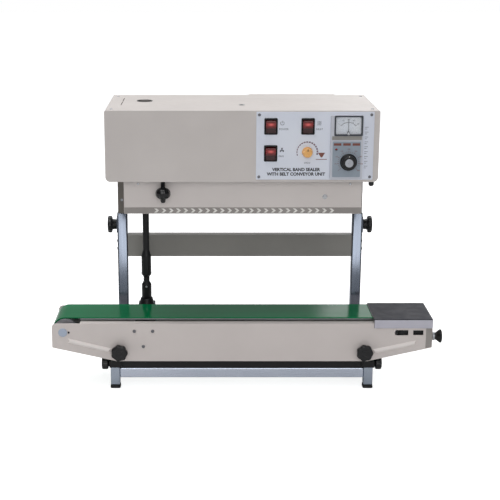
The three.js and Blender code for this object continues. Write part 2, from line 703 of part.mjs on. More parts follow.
// The discharge table: a plate over the belt's end. Its front edge is turned down outside the side plate, and its
// back edge is turned down to stand on the flange of the rear side plate.
function tablePlate() {
  const z0 = BELT.top + GAP;
  const z1 = z0 + TABLE.t;
  const x = [TABLE.x0, CONV.halfL];
  const front = -GAP - TABLE.t;
  const top = block(x, [front, TABLE.back], [z0, z1]);
  const skirt = block(x, [front, -GAP], [TABLE.skirtZ, z1]);
  const lip = block(x, [TABLE.back - TABLE.t, TABLE.back], [CONV.z1 + GAP, z1]);
  return join(top, skirt, lip);
}

function conveyorGearbox() {
  const y = [CONV.depth + GAP, DRIVE.shaftY + 21];
  const housing = block([DRIVE.x - 17, DRIVE.x + 17], y, [76, 128]);
  const neck = bar("z", [DRIVE.x, DRIVE.shaftY, 0], 16, 127, 141, 24, 12);
  const socket = bar("y", [DRIVE.x, 0, DRIVE_Z], 6, CONV.depth - 1, CONV.depth + 3, 16);
  return cut(join(housing, neck), socket);
}

// The black cross member with a clamp block at each end. It stands on the rails and carries the conveyor.
function carrier() {
  const top = CONV.z0 - GAP;
  const middle = block([-238.5, 238.5], [7, 25], [CROSS_TUBE.z1 + GAP, top]);
  const screw = Object.values(SIDES).map((side) => {
    const x = span(side, 246, 264);
    return bar("x", [0, SIDE_KNOB.y, SIDE_KNOB.z], SCREW_R + GAP, ...x, 16);
  });
  const blocks = Object.values(SIDES).map((side) => block(span(side, 236, 260), [0, 60], [RAIL.top + GAP, top]));
  return cut(join(middle, ...blocks), ...screw);
}

function starKnob(x) {
  const star = pushed("y", starOutline(STAR.r, 6, 3.4), -18, -6).translate(x, 0, STAR.z);
  return join(star, bar("y", [x, 0, STAR.z], 8.5, -7, -GAP), bar("y", [x, 0, STAR.z], SCREW_R, -1, 12, 16));
}

for (const [word, row] of Object.entries(ROWS)) add(`${word}_side_plate`, sidePlate(row), M.paint);
add("conveyor_belt", conveyorBelt(), M.belt);
add("belt_bed", bed(), M.steel);
add("idler_roller", roller(IDLER_X, AXIS_Z, ROLLER_R), M.aluminium);
add("drive_roller", roller(DRIVE.x, DRIVE_Z, DRIVE.r, SHEET + GAP), M.rubber);
add("tension_roller", tensionRoller(), M.aluminium);
add("tension_carriage", tensionCarriage(), M.brushed);
add("tension_knob", tensionKnob(), M.black);
add("table_plate", tablePlate(), M.slate);
add("conveyor_gearbox", conveyorGearbox(), M.blackMetal);
add("conveyor_carrier", carrier(), M.blackMetal);
for (const [word, side] of Object.entries(SIDES)) {
  add(`${word}_star_knob`, starKnob(side * STAR.x), M.black);
  add(`${word}_side_knob`, clampKnob(side, 248, 260 + GAP, SIDE_KNOB.y, SIDE_KNOB.z, SIDE_KNOB.r, 7, 8), M.black);
}

// ---- Stand the machine on its origin ------------------------
const box = new THREE.Box3().setFromObject(machine);
machine.position.set(-(box.min.x + box.max.x) / 2, -(box.min.y + box.max.y) / 2, -box.min.z);

const part = new THREE.Group();
part.add(machine);
export default part;
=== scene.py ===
"""Looks of a continuous band sealer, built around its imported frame.

Every length here is in millimetres in the machine's own frame: X = 0 is midway between the posts, Y = 0 the
front face of the head and Z = 0 the floor, with +Y towards the back. ORIGIN and MM turn them into the metres
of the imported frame.
"""
import json
import math

import bmesh
import bpy
from mathutils import Matrix, Vector


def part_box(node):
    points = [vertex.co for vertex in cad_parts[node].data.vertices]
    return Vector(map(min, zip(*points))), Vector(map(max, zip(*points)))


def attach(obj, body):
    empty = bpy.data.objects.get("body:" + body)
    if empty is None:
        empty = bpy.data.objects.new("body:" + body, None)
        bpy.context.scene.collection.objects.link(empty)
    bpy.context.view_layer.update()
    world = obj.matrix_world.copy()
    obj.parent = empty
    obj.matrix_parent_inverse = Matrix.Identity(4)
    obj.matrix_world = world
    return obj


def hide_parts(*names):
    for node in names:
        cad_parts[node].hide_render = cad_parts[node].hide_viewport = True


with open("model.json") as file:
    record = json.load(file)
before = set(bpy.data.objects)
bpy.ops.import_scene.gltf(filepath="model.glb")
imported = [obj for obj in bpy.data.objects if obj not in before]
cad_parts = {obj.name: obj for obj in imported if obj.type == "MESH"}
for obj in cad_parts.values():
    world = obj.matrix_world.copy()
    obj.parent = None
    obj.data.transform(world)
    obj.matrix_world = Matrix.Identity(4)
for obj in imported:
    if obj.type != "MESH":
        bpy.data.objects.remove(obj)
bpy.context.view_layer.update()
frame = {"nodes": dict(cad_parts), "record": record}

MM = 0.001
SIDES = {"left": -1, "right": 1}
POST_X = 244.5
POST_SPAN = (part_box("left_post")[0].x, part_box("right_post")[1].x)
ORIGIN = Vector((sum(POST_SPAN) / 2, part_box("head_casing")[0].y, 0.0))
BODY_OF = {node: body for body, members in frame["record"]["behaviour"]["bodies"].items() for node in members}


def box_mm(node):
    """Lowest and highest corner of a CAD node, in the machine's millimetres."""
    low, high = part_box(node)
    return (low - ORIGIN) / MM, (high - ORIGIN) / MM


def centre_mm(node):
    low, high = box_mm(node)
    return (low + high) / 2


# ---- Camera, light and floor ------------------------
CAMERA_MM = (-68.4, -2222.0, 862.0)
CAMERA_PITCH = math.radians(14.6)
CAMERA_LENS = 86.4
CAMERA_SHIFT = 0.086
AMBIENT = 0.46
AMBIENT_SIDES = 0.12
FLOOR_GLOW = 0.8        # share of the floor's white that no shadow can darken, as in a cut-out picture


def make_camera():
    data = bpy.data.cameras.new("camera")
    data.lens = CAMERA_LENS
    data.sensor_width = 36.0
    data.shift_x = CAMERA_SHIFT
    data.clip_start = 0.05
    data.clip_end = 50.0
    camera = bpy.data.objects.new("camera", data)
    camera.location = ORIGIN + Vector(CAMERA_MM) * MM
    camera.rotation_euler = (math.pi / 2 - CAMERA_PITCH, 0.0, 0.0)
    bpy.context.scene.collection.objects.link(camera)
    bpy.context.scene.camera = camera


def area_light(name, place, aim_at, size, power, tint=(1.0, 1.0, 1.0)):
    data = bpy.data.lights.new(name, "AREA")
    data.shape = "RECTANGLE"
    data.size, data.size_y = size
    data.energy = power
    data.color = tint
    light = bpy.data.objects.new(name, data)
    light.location = place
    light.rotation_euler = (Vector(aim_at) - Vector(place)).to_track_quat("-Z", "Y").to_euler()
    bpy.context.scene.collection.objects.link(light)


def add_node(tree, kind, **settings):
    made = tree.nodes.new(kind)
    for key, value in settings.items():
        setattr(made, key, value)
    return made


def map_range(tree, source, low, high, start, end, curve="LINEAR"):
    """A value that runs from low to high as the source runs from start to end."""
    node = add_node(tree, "ShaderNodeMapRange", interpolation_type=curve)
    for socket, value in (("From Min", start), ("From Max", end), ("To Min", low), ("To Max", high)):
        node.inputs[socket].default_value = value
    tree.links.new(source, node.inputs["Value"])
    return node.outputs["Result"]


def make_world():
    """White to the eye. As light it is softer and dark to both sides, which darkens the edges of tubes."""
    world = bpy.data.worlds.new("studio")
    world.use_nodes = True
    tree = world.node_tree
    tree.nodes.clear()
    split = add_node(tree, "ShaderNodeSeparateXYZ")
    tree.links.new(add_node(tree, "ShaderNodeTexCoord").outputs["Generated"], split.inputs["Vector"])
    sideways = add_node(tree, "ShaderNodeMath", operation="ABSOLUTE")
    tree.links.new(split.outputs["X"], sideways.inputs[0])
    strength = map_range(tree, sideways.outputs[0], AMBIENT, AMBIENT_SIDES, 0.35, 0.8, "SMOOTHSTEP")
    lighting = add_node(tree, "ShaderNodeBackground")
    lighting.inputs["Color"].default_value = (0.96, 0.98, 1.0, 1.0)
    tree.links.new(strength, lighting.inputs["Strength"])
    seen = add_node(tree, "ShaderNodeBackground")
    seen.inputs["Color"].default_value = (1.0, 1.0, 1.0, 1.0)
    mix = add_node(tree, "ShaderNodeMixShader")
    tree.links.new(add_node(tree, "ShaderNodeLightPath").outputs["Is Camera Ray"], mix.inputs["Fac"])
    tree.links.new(lighting.outputs["Background"], mix.inputs[1])
    tree.links.new(seen.outputs["Background"], mix.inputs[2])
    tree.links.new(mix.outputs["Shader"], add_node(tree, "ShaderNodeOutputWorld").inputs["Surface"])
    bpy.context.scene.world = world


def make_studio():
    make_world()
    area_light("overhead", (-0.5, 0.2, 2.4), (0.0, 0.0, 0.3), (2.4, 1.6), 34.0)
    area_light("front_fill", (0.1, -3.3, 1.7), (0.0, 0.0, 0.35), (2.4, 1.4), 22.0)
    area_light("back_fill", (1.2, 2.4, 1.5), (0.0, 0.0, 0.3), (1.8, 1.4), 12.0)
    view = bpy.context.scene.view_settings
    view.view_transform = "Standard"
    view.look = "None"


def make_floor():
    mesh = bpy.data.meshes.new("floor")
    half = 12.0
    mesh.from_pydata([(-half, -half, 0), (half, -half, 0), (half, half, 0), (-half, half, 0)], [],
                     [(0, 1, 2, 3)])
    floor = bpy.data.objects.new("floor", mesh)
    floor.location.z = -0.0002
    bpy.context.scene.collection.objects.link(floor)
    white = bpy.data.materials.new("floor_white")
    white.use_nodes = True
    tree = white.node_tree
    shader = tree.nodes["Principled BSDF"]
    shader.inputs["Base Color"].default_value = (0.8, 0.8, 0.8, 1.0)
    shader.inputs["Roughness"].default_value = 0.9
    shader.inputs["Specular IOR Level"].default_value = 0.0
    shader.inputs["Emission Color"].default_value = (1.0, 1.0, 1.0, 1.0)
    glow = add_node(tree, "ShaderNodeMath", operation="MULTIPLY")
    glow.inputs[1].default_value = FLOOR_GLOW
    tree.links.new(tree.nodes.new("ShaderNodeLightPath").outputs["Is Camera Ray"], glow.inputs[0])
    tree.links.new(glow.outputs[0], shader.inputs["Emission Strength"])
    mesh.materials.append(white)


# ---- Materials ------------------------
def srgb(code):
    """A colour written as on a screen, such as "c2bcb4", in the shader's linear values."""
    def channel(text):
        v = int(text, 16) / 255
        return v / 12.92 if v <= 0.04045 else ((v + 0.055) / 1.055) ** 2.4
    return tuple(channel(code[i:i + 2]) for i in (0, 2, 4)) + (1.0,)


class Look:
    """A material being made: one Principled shader, and the nodes that vary its colour, gloss and relief."""

    def __init__(self, name, color, roughness, metallic=0.0, **sockets):
        self.material = bpy.data.materials.new(name)
        self.material.use_nodes = True
        self.tree = self.material.node_tree
        self.shader = self.tree.nodes["Principled BSDF"]
        self.shader.inputs["Base Color"].default_value = srgb(color)
        self.shader.inputs["Roughness"].default_value = roughness
        self.shader.inputs["Metallic"].default_value = metallic
        for socket, value in sockets.items():
            self.shader.inputs[socket.replace("_", " ")].default_value = value
        self.coordinates = self.tree.nodes.new("ShaderNodeTexCoord").outputs["Object"]
        self.normal = None

    def node(self, kind, **settings):
        return add_node(self.tree, kind, **settings)

    def link(self, source, target):
        self.tree.links.new(source, target)

    def scaled(self, stretch):
        """Coordinates stretched along X, Y and Z, for grain that runs one way."""
        mapping = self.node("ShaderNodeMapping")
        mapping.inputs["Scale"].default_value = stretch
        self.link(self.coordinates, mapping.inputs["Vector"])
        return mapping.outputs["Vector"]

    def noise(self, scale, detail=3.0, stretch=(1, 1, 1), rough=0.5):
        texture = self.node("ShaderNodeTexNoise")
        texture.inputs["Scale"].default_value = scale
        texture.inputs["Detail"].default_value = detail
        texture.inputs["Roughness"].default_value = rough
        self.link(self.scaled(stretch), texture.inputs["Vector"])
        return texture.outputs["Fac"]

    def wave(self, scale, direction="X", distortion=0.0):
        texture = self.node("ShaderNodeTexWave", bands_direction=direction)
        texture.inputs["Scale"].default_value = scale
        texture.inputs["Distortion"].default_value = distortion
        self.link(self.scaled((1, 1, 1)), texture.inputs["Vector"])
        return texture.outputs["Fac"]

    def own_box_distance(self, centre_x=0.5, centre_z=0.68):
        """How far a point lies across and up from a spot on the piece's own front, as shares of its size."""
        own = self.node("ShaderNodeTexCoord").outputs["Generated"]
        split = self.node("ShaderNodeSeparateXYZ")
        self.link(own, split.inputs["Vector"])
        out = []
        for axis, centre in (("X", centre_x), ("Z", centre_z)):
            offset = self.node("ShaderNodeMath", operation="SUBTRACT")
            offset.inputs[1].default_value = centre
            self.link(split.outputs[axis], offset.inputs[0])
            size = self.node("ShaderNodeMath", operation="ABSOLUTE")
            self.link(offset.outputs[0], size.inputs[0])
            out.append(size.outputs[0])
        return out

    def remap(self, source, low, high, start=0.3, end=0.7):
        return map_range(self.tree, source, low, high, start, end)

    def vary_color(self, source, color_a, color_b, start=0.35, end=0.65):
        ramp = self.node("ShaderNodeValToRGB")
        ramp.color_ramp.elements[0].position = start
        ramp.color_ramp.elements[0].color = srgb(color_a)
        ramp.color_ramp.elements[1].position = end
        ramp.color_ramp.elements[1].color = srgb(color_b)
        self.link(source, ramp.inputs["Fac"])
        self.link(ramp.outputs["Color"], self.shader.inputs["Base Color"])
        return self

    def vary_roughness(self, source, low, high):
        self.link(self.remap(source, low, high), self.shader.inputs["Roughness"])
        return self

    def bump(self, source, depth_mm, strength=1.0):
        """Relief of the given depth. Reliefs stack in the order in which they are added."""
        node = self.node("ShaderNodeBump")
        node.inputs["Strength"].default_value = strength
        node.inputs["Distance"].default_value = depth_mm * MM
        self.link(source, node.inputs["Height"])
        if self.normal is not None:
            self.link(self.normal, node.inputs["Normal"])
        self.normal = node.outputs["Normal"]
        self.link(self.normal, self.shader.inputs["Normal"])
        return self


def painted(name, color_a, color_b, roughness, shine=0.35):
    """Powder coat: a fine orange peel, a slow drift of tone and slightly uneven gloss."""
    look = Look(name, color_a, roughness, Specular_IOR_Level=shine)
    look.vary_color(look.noise(9.0, 4.0), color_a, color_b)
    look.vary_roughness(look.noise(60.0), roughness - 0.05, roughness + 0.07)
    look.bump(look.noise(900.0, 2.0), 0.03, 0.35)
    return look.material


def stainless(name, color, color_b, roughness, along, grain=420.0):
    """Polished or brushed steel whose grain runs along one axis."""
    look = Look(name, color, roughness, 1.0)
    stretch = [1.0, 1.0, 1.0]
    stretch["XYZ".index(along)] = 0.02
    lines = look.noise(grain, 5.0, stretch, 0.65)
    look.vary_roughness(lines, roughness * 0.75, roughness * 1.5)
    look.vary_color(look.noise(14.0, 3.0), color, color_b, 0.3, 0.7)
    look.bump(lines, 0.012, 0.5)
    return look.material


def moulded(name, color_a, color_b, roughness, grain=1400.0, relief=0.035):
    """Moulded plastic or rubber with a fine spark texture."""
    look = Look(name, color_a, roughness)
    look.vary_color(look.noise(35.0, 3.0), color_a, color_b)
    look.vary_roughness(look.noise(180.0), roughness - 0.06, roughness + 0.1)
    look.bump(look.noise(grain, 2.0), relief, 0.5)
    return look.material


def satin_print(name, color_a, color_b):
    """A printed plastic overlay with a satin face: almost even, with a faint cloudiness and a soft sheen."""
    look = Look(name, color_a, 0.38, 0.25)
    look.vary_color(look.noise(11.0, 3.0), color_a, color_b)
    look.vary_roughness(look.noise(400.0, 3.0, (0.05, 1.0, 1.0)), 0.32, 0.46)
    look.bump(look.noise(700.0, 2.0), 0.006, 0.3)
    return look.material


def belt_pvc():
    """Smooth green PVC with a faint weave pressed through from the cloth backing, and light rub marks."""
    look = Look("belt_green", "007343", 0.12, Specular_IOR_Level=0.08)
    look.vary_color(look.noise(5.0, 4.0, (0.25, 1.5, 1.0)), "006c3f", "027c4b")
    look.vary_roughness(look.noise(26.0, 5.0, (0.1, 1.4, 1.0)), 0.08, 0.18)
    look.bump(look.wave(260.0, "X"), 0.02, 0.25)
    look.bump(look.wave(260.0, "Y"), 0.02, 0.25)
    look.bump(look.noise(40.0, 4.0), 0.15, 0.2)
    return look.material


def glass_clear():
    look = Look("meter_glass", "f4f8ff", 0.04, Alpha=0.12)
    look.vary_roughness(look.noise(90.0, 3.0), 0.02, 0.1)
    look.bump(look.noise(20.0, 2.0), 0.02, 0.1)
    look.material.surface_render_method = "BLENDED"
    return look.material


def lit_red():
    """A moulded red lens: deep red, darker away from a spot two thirds up as painted shade, with a painted
    highlight glowing at that spot.
    """
    look = Look("rocker_red", "7c0d10", 0.16, Coat_Weight=0.4, Coat_Roughness=0.08)
    across, up = look.own_box_distance()
    # painted shade: the red darkens away from a spot two thirds up the lens
    look.vary_color(up, "8a1517", "330507", 0.06, 0.34)
    look.vary_roughness(look.noise(300.0), 0.12, 0.24)
    look.bump(look.noise(700.0, 2.0), 0.01, 0.3)
    # painted highlight: an emission spot there stands for studio light reflected on the lens
    look.shader.inputs["Emission Color"].default_value = srgb("ff7d78")
    highlight_glow = look.node("ShaderNodeMath", operation="MULTIPLY")
    look.link(look.remap(up, 0.5, 0.0, 0.02, 0.15), highlight_glow.inputs[0])
    look.link(look.remap(across, 0.8, 0.0, 0.05, 0.36), highlight_glow.inputs[1])
    look.link(highlight_glow.outputs[0], look.shader.inputs["Emission Strength"])
    return look.material


def tape_weave():
    """Brown glass cloth coated with PTFE: a plain weave with a waxy skin."""
    look = Look("seal_tape", "7a4d2c", 0.45, Coat_Weight=0.2)
    look.vary_color(look.noise(60.0, 3.0), "6d4326", "8a5b36")
    look.bump(look.wave(900.0, "X"), 0.05, 0.6)
    look.bump(look.wave(900.0, "Z"), 0.05, 0.6)
    return look.material


def make_materials():
    m = {}
    m["cream_paint"] = painted("cream_paint", "d0c9c5", "d5ceca", 0.46)
    m["plate_paint"] = painted("plate_paint", "dcd3cf", "e0d7d3", 0.44)
    m["guard_paint"] = painted("guard_paint", "dcd4d0", "e1d9d5", 0.44)
    m["band_paint"] = painted("band_paint", "9b9591", "a29c98", 0.45)
    m["dark_paint"] = painted("dark_paint", "7a736d", "827b75", 0.42)
    # painted light and shade: the tubes are one steel, given a darker tone on the posts (Z), a middle one on
    # the side frames (Y) and a lighter one on the cross tube (X), for how the light falls on each
    m["stainless_z_painted_dark"] = stainless("stainless_z_painted_dark", "7f8693", "7a818d", 0.16, "Z")
    m["stainless_x_painted_light"] = stainless("stainless_x_painted_light", "d6ddec", "cfd7e7", 0.2, "X")
    m["stainless_y_painted_mid"] = stainless("stainless_y_painted_mid", "b4bdcb", "adb7c6", 0.2, "Y")
    m["zinc"] = stainless("zinc_steel", "b4b6ba", "a8abb0", 0.32, "X", 160.0)
    m["dark_screw"] = stainless("dark_screw", "85868a", "7a7b80", 0.4, "X", 160.0)
    m["aluminium"] = stainless("turned_aluminium", "c4c6cc", "bcbfc6", 0.3, "Y", 300.0)
    m["panel"] = satin_print("panel_sheet", "e1e5f1", "e7ebf5")
    # painted highlight: the plate's paint in a lighter tone, for the light that catches the ribs
    m["rib_highlight_paint"] = painted("rib_highlight_paint", "f0e8e4", "f4ece8", 0.4)
    m["screw"] = stainless("screw_steel", "d0d1d4", "c6c8cc", 0.22, "X", 900.0)
    m["brass"] = stainless("brass", "c9a45c", "bf9850", 0.3, "X", 260.0)
    m["black"] = moulded("black_plastic", "0c0c0e", "121214", 0.34)
    m["black_gloss"] = moulded("black_gloss", "09090b", "0e0e10", 0.2, relief=0.01)
    m["black_steel"] = painted("black_steel", "101012", "161618", 0.36)
    m["rubber"] = moulded("rubber", "0e0e0f", "161617", 0.66, 600.0, 0.08)
    m["slate"] = painted("slate_plate", "36363e", "3b3b43", 0.5, 0.15)
    m["slate_edge"] = stainless("slate_edge", "d0ced8", "c8c6d0", 0.4, "X", 300.0)
    m["bar_paint"] = painted("bar_paint", "94918d", "9a9793", 0.4)
    m["cap_blue"] = moulded("cap_blue", "aab6ca", "b4bfd1", 0.35)
    m["meter_frame"] = moulded("meter_frame", "3c3f46", "44474e", 0.35)
    m["controller_plate"] = moulded("controller_plate", "95a0ac", "9da8b4", 0.4)
    m["grey_plastic"] = moulded("grey_plastic", "c7c9d2", "ced0d9", 0.42)
    m["white_plastic"] = moulded("white_plastic", "f4f8ff", "fafcff", 0.35)
    m["cream_knob"] = moulded("cream_knob", "f0ad5c", "f6bd74", 0.3, relief=0.01)
    m["ink"] = moulded("ink_black", "26262a", "2d2d31", 0.6, relief=0.0)
    m["ink_grey"] = moulded("ink_grey", "5a5d66", "63666f", 0.6, relief=0.0)
    m["ink_red"] = moulded("ink_red", "7d4a40", "865448", 0.55, relief=0.0)
    m["ink_violet"] = moulded("ink_violet", "6f5566", "7a5f70", 0.6, relief=0.0)
    m["ink_white"] = moulded("ink_white", "eeeae4", "f4f1ec", 0.6, relief=0.0)
    m["belt"] = belt_pvc()
    m["glass"] = glass_clear()
    m["red"] = lit_red()
    m["tape"] = tape_weave()
    return m


# ---- Mesh building ------------------------
LOOKS = {}


def finish_piece(name, bm, look, body, replaces=(), sharp=35.0, bevel=0.0, segments=3):
    """Turns a mesh drawn in machine millimetres into a piece of the object that rides on a body."""
    bmesh.ops.remove_doubles(bm, verts=bm.verts, dist=0.0005)
    bmesh.ops.recalc_face_normals(bm, faces=bm.faces)
    limit = math.radians(sharp)
    for edge in bm.edges:
        edge.smooth = len(edge.link_faces) == 2 and edge.calc_face_angle(0.0) < limit
    for face in bm.faces:
        face.smooth = True
    bm.transform(Matrix.Translation(ORIGIN) @ Matrix.Scale(MM, 4))
    mesh = bpy.data.meshes.new(name)
    bm.to_mesh(mesh)
    bm.free()
    mesh.materials.append(LOOKS[look])
    piece = bpy.data.objects.new(name, mesh)
    bpy.context.scene.collection.objects.link(piece)
    if bevel > 0:
        rounding = piece.modifiers.new("edges", "BEVEL")
        rounding.width = bevel * MM
        rounding.segments = segments
        rounding.limit_method = "ANGLE"
        rounding.angle_limit = math.radians(30.0)
        rounding.miter_outer = "MITER_ARC"
        weighting = piece.modifiers.new("flat_faces", "WEIGHTED_NORMAL")
        weighting.keep_sharp = True
        weighting.weight = 100
    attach(piece, body)
    if replaces:
        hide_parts(*replaces)
    return piece


def stand_in(node, ending, bm, look, sharp=35.0, bevel=0.0, segments=3):
    """The piece that stands in for a CAD node: it rides on the node's body, and the node is hidden."""
    return finish_piece(node + ending, bm, look, BODY_OF[node], (node,), sharp, bevel,
                        segments)


def skin(node, look, bevel=0.8, segments=3, sharp=30.0):
    """A CAD node's own shape with its flat faces made whole and its edges rounded."""
    bm = bmesh.new()
    bm.from_mesh(frame["nodes"][node].data)
    bm.transform(Matrix.Scale(1 / MM, 4) @ Matrix.Translation(-ORIGIN))
    bmesh.ops.remove_doubles(bm, verts=bm.verts, dist=0.002)
    bmesh.ops.dissolve_limit(bm, angle_limit=math.radians(1.0), verts=bm.verts, edges=bm.edges)
    return stand_in(node, "_skin", bm, look, sharp, bevel, segments)


AXIS_TURN = {
    "x": Matrix(((0, 0, 1, 0), (1, 0, 0, 0), (0, 1, 0, 0), (0, 0, 0, 1))),
    "y": Matrix(((1, 0, 0, 0), (0, 0, 1, 0), (0, -1, 0, 0), (0, 0, 0, 1))),
    "z": Matrix.Identity(4),
}


def placed(axis, place, flip=False):
    """The matrix that stands a shape drawn along +Z on an axis, at a place. Flip turns it end for end."""
    turn = AXIS_TURN[axis]
    if flip:
        turn = turn @ Matrix.Rotation(math.pi, 4, "X")
    return Matrix.Translation(Vector(place)) @ turn


def facing_front(x, y, z):
    """The matrix that stands a shape drawn along +Z on a face that looks to the front."""
    return placed("y", (x, y, z), True)


def polar(u, v, r, angle):
    return (u + r * math.cos(angle), v + r * math.sin(angle))


def rings(bm, rows, closed_start=True, closed_end=True):
    """Faces between rows of points, and a face over each end."""
    loops = [[bm.verts.new(p) for p in row] for row in rows]
    count = len(loops[0])
    for below, above in zip(loops, loops[1:]):
        for i in range(count):
            j = (i + 1) % count
            bm.faces.new((below[i], below[j], above[j], above[i]))
    if closed_start:
        bm.faces.new(list(reversed(loops[0])))
    if closed_end:
        bm.faces.new(loops[-1])
    return bm


def turned(profile, sides=64, wave=None):
    """A turned shape along +Z. profile lists (radius, height); wave(angle, height) scales the radius."""
    bm = bmesh.new()
    rows = []
    for radius, height in profile:
        row = []
        for i in range(sides):
            angle = 2 * math.pi * i / sides
            r = max(radius, 0.002) * (wave(angle, height) if wave else 1.0)
            row.append((r * math.cos(angle), r * math.sin(angle), height))
        rows.append(row)
    return rings(bm, rows)


def soft_profile(profile, radius=0.6, steps=3):
    """A profile with its corners rounded by short arcs."""
    out = [profile[0]]
    for before, here, after in zip(profile, profile[1:], profile[2:]):
        a, b, c = Vector(before), Vector(here), Vector(after)
        to_a, to_c = a - b, c - b
        reach = min(radius, to_a.length * 0.45, to_c.length * 0.45)
        if reach < 0.02:
            out.append(tuple(b))
            continue
        p, q = b + to_a.normalized() * reach, b + to_c.normalized() * reach
        for k in range(steps + 1):
            t = k / steps
            point = (1 - t) ** 2 * p + 2 * t * (1 - t) * b + t * t * q
            out.append(tuple(point))
    out.append(profile[-1])
    return out


def extruded(points, low, high):
    """A closed outline of (u, v) points pushed along +Z."""
    bm = bmesh.new()
    return rings(bm, [[(u, v, w) for u, v in points] for w in (low, high)])


def arc(cu, cv, r, start, end, steps=8):
    return [polar(cu, cv, r, math.radians(start + (end - start) * k / steps)) for k in range(steps + 1)]


def rounded_rect(u0, u1, v0, v1, r, steps=6):
    return (arc(u1 - r, v0 + r, r, -90, 0, steps) + arc(u1 - r, v1 - r, r, 0, 90, steps)
            + arc(u0 + r, v1 - r, r, 90, 180, steps) + arc(u0 + r, v0 + r, r, 180, 270, steps))


def block(low, high):
    bm = bmesh.new()
    bmesh.ops.create_cube(bm, size=1.0)
    size = Vector(high) - Vector(low)
    bm.transform(Matrix.Translation((Vector(high) + Vector(low)) / 2) @ Matrix.Diagonal((*size, 1.0)))
    return bm


def merged(*parts):
    """Several shapes as one mesh."""
    whole = bmesh.new()
    for part in parts:
        scratch = bpy.data.meshes.new("scratch")
        part.to_mesh(scratch)
        part.free()
        whole.from_mesh(scratch)
        bpy.data.meshes.remove(scratch)
    return whole


def moved(bm, matrix):
    bm.transform(matrix)
    return bm


def carved(piece, cutter):
    """Cuts a hole in a piece with a shape in machine millimetres."""
    cutter.transform(Matrix.Translation(ORIGIN) @ Matrix.Scale(MM, 4))
    mesh = bpy.data.meshes.new("cutter")
    cutter.to_mesh(mesh)
    cutter.free()
    tool = bpy.data.objects.new("cutter", mesh)
    bpy.context.scene.collection.objects.link(tool)
    boolean = piece.modifiers.new("hole", "BOOLEAN")
    boolean.operation = "DIFFERENCE"
    boolean.solver = "EXACT"
    boolean.object = tool
    piece.modifiers.move(len(piece.modifiers) - 1, 0)
    bpy.context.view_layer.update()
    first = piece.modifiers[0]
    with bpy.context.temp_override(object=piece, active_object=piece, selected_objects=[piece]):
        bpy.ops.object.modifier_apply(modifier=first.name)
    bpy.data.objects.remove(tool)
    bpy.data.meshes.remove(mesh)
    return piece


# ---- Fasteners ------------------------
def screw_head(name, place, axis, flip, radius, body, look="screw", height=None):
    """A pan-head screw with a cross recess, standing on a face whose outward way is the axis."""
    height = height or radius * 0.62
    dome = ((1.0, 0.0), (1.0, 0.28), (0.94, 0.6), (0.78, 0.86), (0.5, 0.98))
    head = turned([(radius * s, height * h) for s, h in dome] + [(0.0, height)], 28)
    long, narrow = radius * 0.58, radius * 0.12
    slots = ((long, narrow), (narrow, long))
    recess = [block((-u, -v, height * 0.45), (u, v, height * 1.4)) for u, v in slots]
    spin = Matrix.Rotation(math.radians(17 * len(name) % 90), 4, "Z")
    at = placed(axis, place, flip) @ spin
    piece = finish_piece(name, moved(head, at), look, body)
    for tool in recess:
        carved(piece, moved(tool, at))
    return piece


def hex_bolt(name, place, axis, flip, radius, body, look="screw"):
    """A hexagon bolt head on a washer."""
    washer = turned(soft_profile([(0, 0), (radius * 1.35, 0), (radius * 1.35, 0.9), (0, 0.9)], 0.25), 32)
    head = turned([(0, 0.9), (radius, 0.9), (radius, 0.9 + radius * 0.8), (radius * 0.86, 0.9 + radius),
                   (0, 0.9 + radius)], 6)
    at = placed(axis, place, flip)
    return finish_piece(name, moved(merged(washer, head), at), look, body, sharp=25.0)


# ---- Knobs ------------------------
def flutes(count, depth, start, end):
    """Finger hollows round a grip, between two heights."""
    def wave(angle, height):
        if not start <= height <= end:
            return 1.0
        return 1.0 - depth * (1.0 - math.cos(count * angle)) / 2
    return wave


def clamp_knob(node, place, x0, x1, grip, hub, length):
    """A moulded hand wheel on a screw along X: the screw starts x0 from the middle plane, the hub at x1."""
    end = x1 + hub + length
    profile = [
        (0, x0), (4, x0), (4, x1), (grip * 0.56, x1), (grip * 0.62, x1 + hub), (grip * 0.82, x1 + hub + 0.3),
        (grip * 0.96, x1 + hub + 1.2), (grip, x1 + hub + 3.2), (grip, end - 2.6), (grip * 0.93, end - 0.5),
        (grip * 0.8, end), (grip * 0.36, end - 0.2), (grip * 0.32, end - 1.2), (0, end - 1.2),
    ]
    wave = flutes(12, 0.06, x1 + hub + 0.9, end - 0.1)
    shape = turned(soft_profile(profile, 0.8), 144, wave)
    at = placed("x", (0, place[0], place[1]), box_mm(node)[0].x < 0)
    stand_in(node, "_moulding", moved(shape, at), "black", 40)


def star_knob(side, word):
    """A seven-lobed star knob on the front of the conveyor, with a raised hub and a steel stud."""
    node = word + "_star_knob"
    x, z, r = side * 239.0, 79.0, 16.5
    lobes = flutes(7, 0.085, 6.9, 18.1)
    profile = [
        (8.5, 0.3), (8.5, 6.2), (r * 0.8, 6.9), (r * 0.97, 7.6), (r, 9.5), (r, 14.6), (r * 0.96, 16.4),
        (r * 0.82, 17.6), (r * 0.5, 17.9), (r * 0.36, 17.9), (r * 0.34, 17.2), (0, 17.2),
    ]
    shape = turned([(0, 0.3)] + soft_profile(profile, 0.7), 144, lobes)
    stand_in(node, "_moulding", moved(shape, facing_front(x, 0, z)), "black", 40)
    stud = turned([(0, -12), (3.9, -12), (3.9, 0.4), (0, 0.4)], 32)
    finish_piece(node + "_stud", moved(stud, facing_front(x, 0, z)), "screw", BODY_OF[node])


def build_knobs():
    for word, side in SIDES.items():
        clamp_knob(word + "_post_knob", (215.0, 283.0), 253.3, 256.8, 18.0, 8.5, 9.5)
        clamp_knob(word + "_side_knob", (14.0, 50.5), 248.0, 260.3, 13.5, 2.2, 12.8)
        star_knob(side, word)
    build_tension_knob()
    build_pressure_screw()


